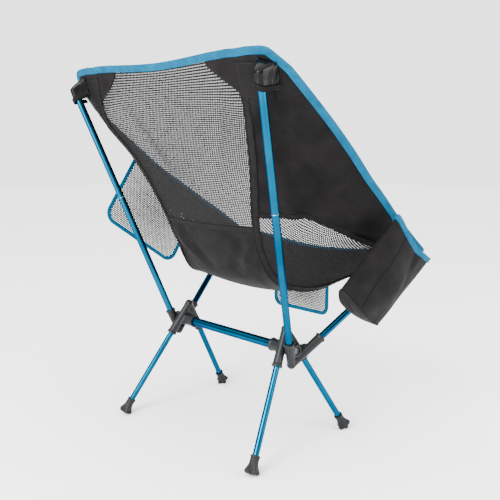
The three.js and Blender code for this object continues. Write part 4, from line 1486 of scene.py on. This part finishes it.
# ---- pole pockets --------------------------------------------------------------------------------
POUCH_HALF = 0.0165      # half the slip's width
POUCH_BEND = 0.0077      # the slip's bend over the pole's cap
POUCH_SPAN = (-0.022, 0.0125)      # its mouth and its far end, from the pole's tip
POUCH_SLANT = 0.006      # its far end is cut slanting, like the sling's edge beyond it
POUCH_LIFT = 0.0007      # its sewn border lies this far above the pad
POUCH_THICK = 0.0006
POUCH_SETTLE = (0.64, 0.36)     # shares of its length at which it starts to sink to the patch, and takes to
BAND_SLANT = 0.42        # how far the band drops towards the outer edge
BAND_HALF, BAND_BEND = 0.0205, 0.0108      # half its length, and its bend over the slip
BAND_SHOULDER = (0.0088, 0.007)     # height of the ramp down to its ends, and where that begins
BAND_POINTS = 61
GUIDE_OVERLAP = 0.3      # stations by which a quarter's guide runs into the other

GUIDES = {}
for side, sign in SIDES.items():
    GUIDES["back", side] = ClothGuide(0, SPLIT + GUIDE_OVERLAP, sign)
    GUIDES["front", side] = ClothGuide(SPLIT - GUIDE_OVERLAP, LAST, sign)


def add_pole_pocket(end, side, sign):
    """A slip of glossy cloth sewn on the patch along three sides, tented over the tip of the pole."""
    apex, tip = place(SEAT_APEX, sign), place(BACK_TIP if end == "back" else FRONT_TIP, sign)
    guide = GUIDES[end, side]
    # The pocket's frame: d along the pole, w towards the outer edge and n from the cloth to the pole.
    d = unit(tip - apex)
    foot, square = (found[0] for found in guide.drop(tip[None]))
    w = unit(np.cross(d, square))
    edge, _ = sling(0.6 if end == "back" else LAST - 0.6, 1.95 * sign)
    w = w if np.dot(w, edge - tip) > 0 else -w
    n = unit(square - d * np.dot(square, d))
    n = n if np.dot(n, tip - foot) > 0 else -n
    rows, cols = 36, 44
    mouth, far = POUCH_SPAN
    v, x = np.meshgrid(np.linspace(0, 1, rows), np.linspace(-1, 1, cols), indexing="ij")
    t = mouth + (far - mouth - POUCH_SLANT * (x + 1) / 2) * v
    axis = tip + d * t[..., None] + w * (x * POUCH_HALF)[..., None]
    # The pad's surface straight below each point of the axis.
    base = axis
    for _ in range(3):
        seat, square = guide.drop(base)
        square = square * np.sign(square @ n)[..., None]
        seat = seat + square * (PATCH_THICK / 2 + PAD_THICK + POUCH_LIFT)
        rise = (axis - seat) @ n
        base = axis - n * rise[..., None]
    # Each row runs round the pole and straight down to the patch on both sides; past the tip it sinks.
    level, off = rise.mean(1, keepdims=True), np.abs(x) * POUCH_HALF
    turn = np.arctan2(-level, POUCH_HALF) + np.arccos(POUCH_BEND / np.hypot(POUCH_HALF, level))
    touch, crest = POUCH_BEND * np.cos(turn), POUCH_BEND * np.sin(turn)
    flank = crest - (level + crest) * (off - touch) / (POUCH_HALF - touch)
    ridge = np.where(off < touch, np.sqrt(np.clip(POUCH_BEND ** 2 - off ** 2, 0, None)), flank)
    lay = np.clip((v - POUCH_SETTLE[0]) / POUCH_SETTLE[1], 0, 1)
    fold = 0.0005 * (1 + np.sin(4 * x + 7 * v)) * (1 - x * x) * (1 - v)
    points = base + n * ((ridge + level) * (1 - lay ** 2) ** 0.8 + fold)[..., None]
    across, down = np.gradient(points, axis=1), np.gradient(points, axis=0)
    normals = unit(np.cross(across, down))
    normals = normals * np.sign((normals * n).sum(-1))[..., None]
    faces = grid_faces(rows, cols)
    if np.dot(np.cross(points[1, 0] - points[0, 0], points[0, 1] - points[0, 0]), n) > 0:
        faces = [tuple(reversed(f)) for f in faces]
    verts, faces = thicken(points.reshape(-1, 3), normals.reshape(-1, 3), faces, POUCH_THICK)
    parts = [(verts, faces, None, 0)]
    for row, col in ((slice(1, -1), 1), (slice(1, -1), cols - 2), (rows - 2, slice(1, -1))):
        parts.append(sewn(points[row, col] + normals[row, col] * 0.0004, normals[row, col], POCKET_SEAM))
    verts, faces, uv, index = join(parts)
    piece = make(f"{end}_pole_sleeve_{side}", verts, faces, [NYLON, BLACK_THREAD], uv, index, 60)
    declare(piece, lengths(points, 1)[:, -1].max(), far - mouth, area_of(points))
    ride_on(piece, f"corner_{end}_{side}", "black_oxford", f"pole_pocket_{end}_{side}")
    add_pole_band(end, side, tip + d * (mouth + 0.002), d, w, n)


def add_pole_band(end, side, at, d, w, n):
    """A webbing band over the slip's mouth, at the point given, sewn to the patch at both ends."""
    w = unit(w - d * BAND_SLANT)
    d = unit(d - w * np.dot(d, w))
    seat = GUIDES[end, side].drop(at + w * BAND_HALF * np.array([[-1.0], [1.0]]))[0]
    ends = seat + n * (PATCH_THICK / 2 + PAD_THICK + 0.0012) - at
    x = np.linspace(-BAND_HALF, BAND_HALF, BAND_POINTS)
    low, drift = (np.interp(x, [-BAND_HALF, BAND_HALF], ends @ way) for way in (n, d))
    dome = np.sqrt(np.clip(BAND_BEND ** 2 - x ** 2, 0, None))
    top, begin = BAND_SHOULDER
    ramp = np.clip((BAND_HALF - np.abs(x)) / (BAND_HALF - begin), 0, 1)
    height = np.maximum(np.where(np.abs(x) < BAND_BEND, dome, -1), low + (top - low) * ramp)
    height = np.convolve(np.pad(height, 2, mode="edge"), np.ones(5) / 5, mode="valid")
    fade = (x / BAND_HALF) ** 2
    path = at + w * x[:, None] + n * height[:, None] + d * (drift * fade)[:, None]
    across = unit(np.cross(unit(np.gradient(path, axis=0)), n))
    up = unit(np.cross(across, unit(np.gradient(path, axis=0))))
    if np.dot(up[BAND_POINTS // 2], n) < 0:
        up = -up
    verts, faces, uv = sweep(path, across, up, BAND_SECTION)
    parts = [(verts, faces, uv, 0)]
    for k in (slice(0, 7), slice(-7, None)):
        for offset in (-0.0024, 0.0024):
            parts.append(sewn(path[k] + across[k] * offset + up[k] * 0.0008, up[k], BAND_SEAM))
    verts, faces, uv, index = join(parts)
    band = make(f"{end}_pole_band_{side}", verts, faces, [BLACK_TAPE, BLACK_THREAD], uv, index, 50)
    ride_on(band, f"corner_{end}_{side}", "black_webbing")


# ---- the chair -----------------------------------------------------------------------------------
add_camera()
add_studio()
add_tubes()
add_legs()
add_hubs()
add_back_hem()
for side, sign in SIDES.items():
    add_back_net(side, sign)
    add_side_net(side, sign)
    add_seat(side, sign)
    add_side_panel(side, sign)
    add_seam_tapes(side, sign)
    for end in ("back", "front"):
        add_patch(end, side, sign)
        add_pole_pad(end, side, sign)
        add_edge_binding(end, side, sign)
        add_pole_pocket(end, side, sign)
add_net_pockets()
add_bottle_pocket()

bpy.context.view_layer.update()
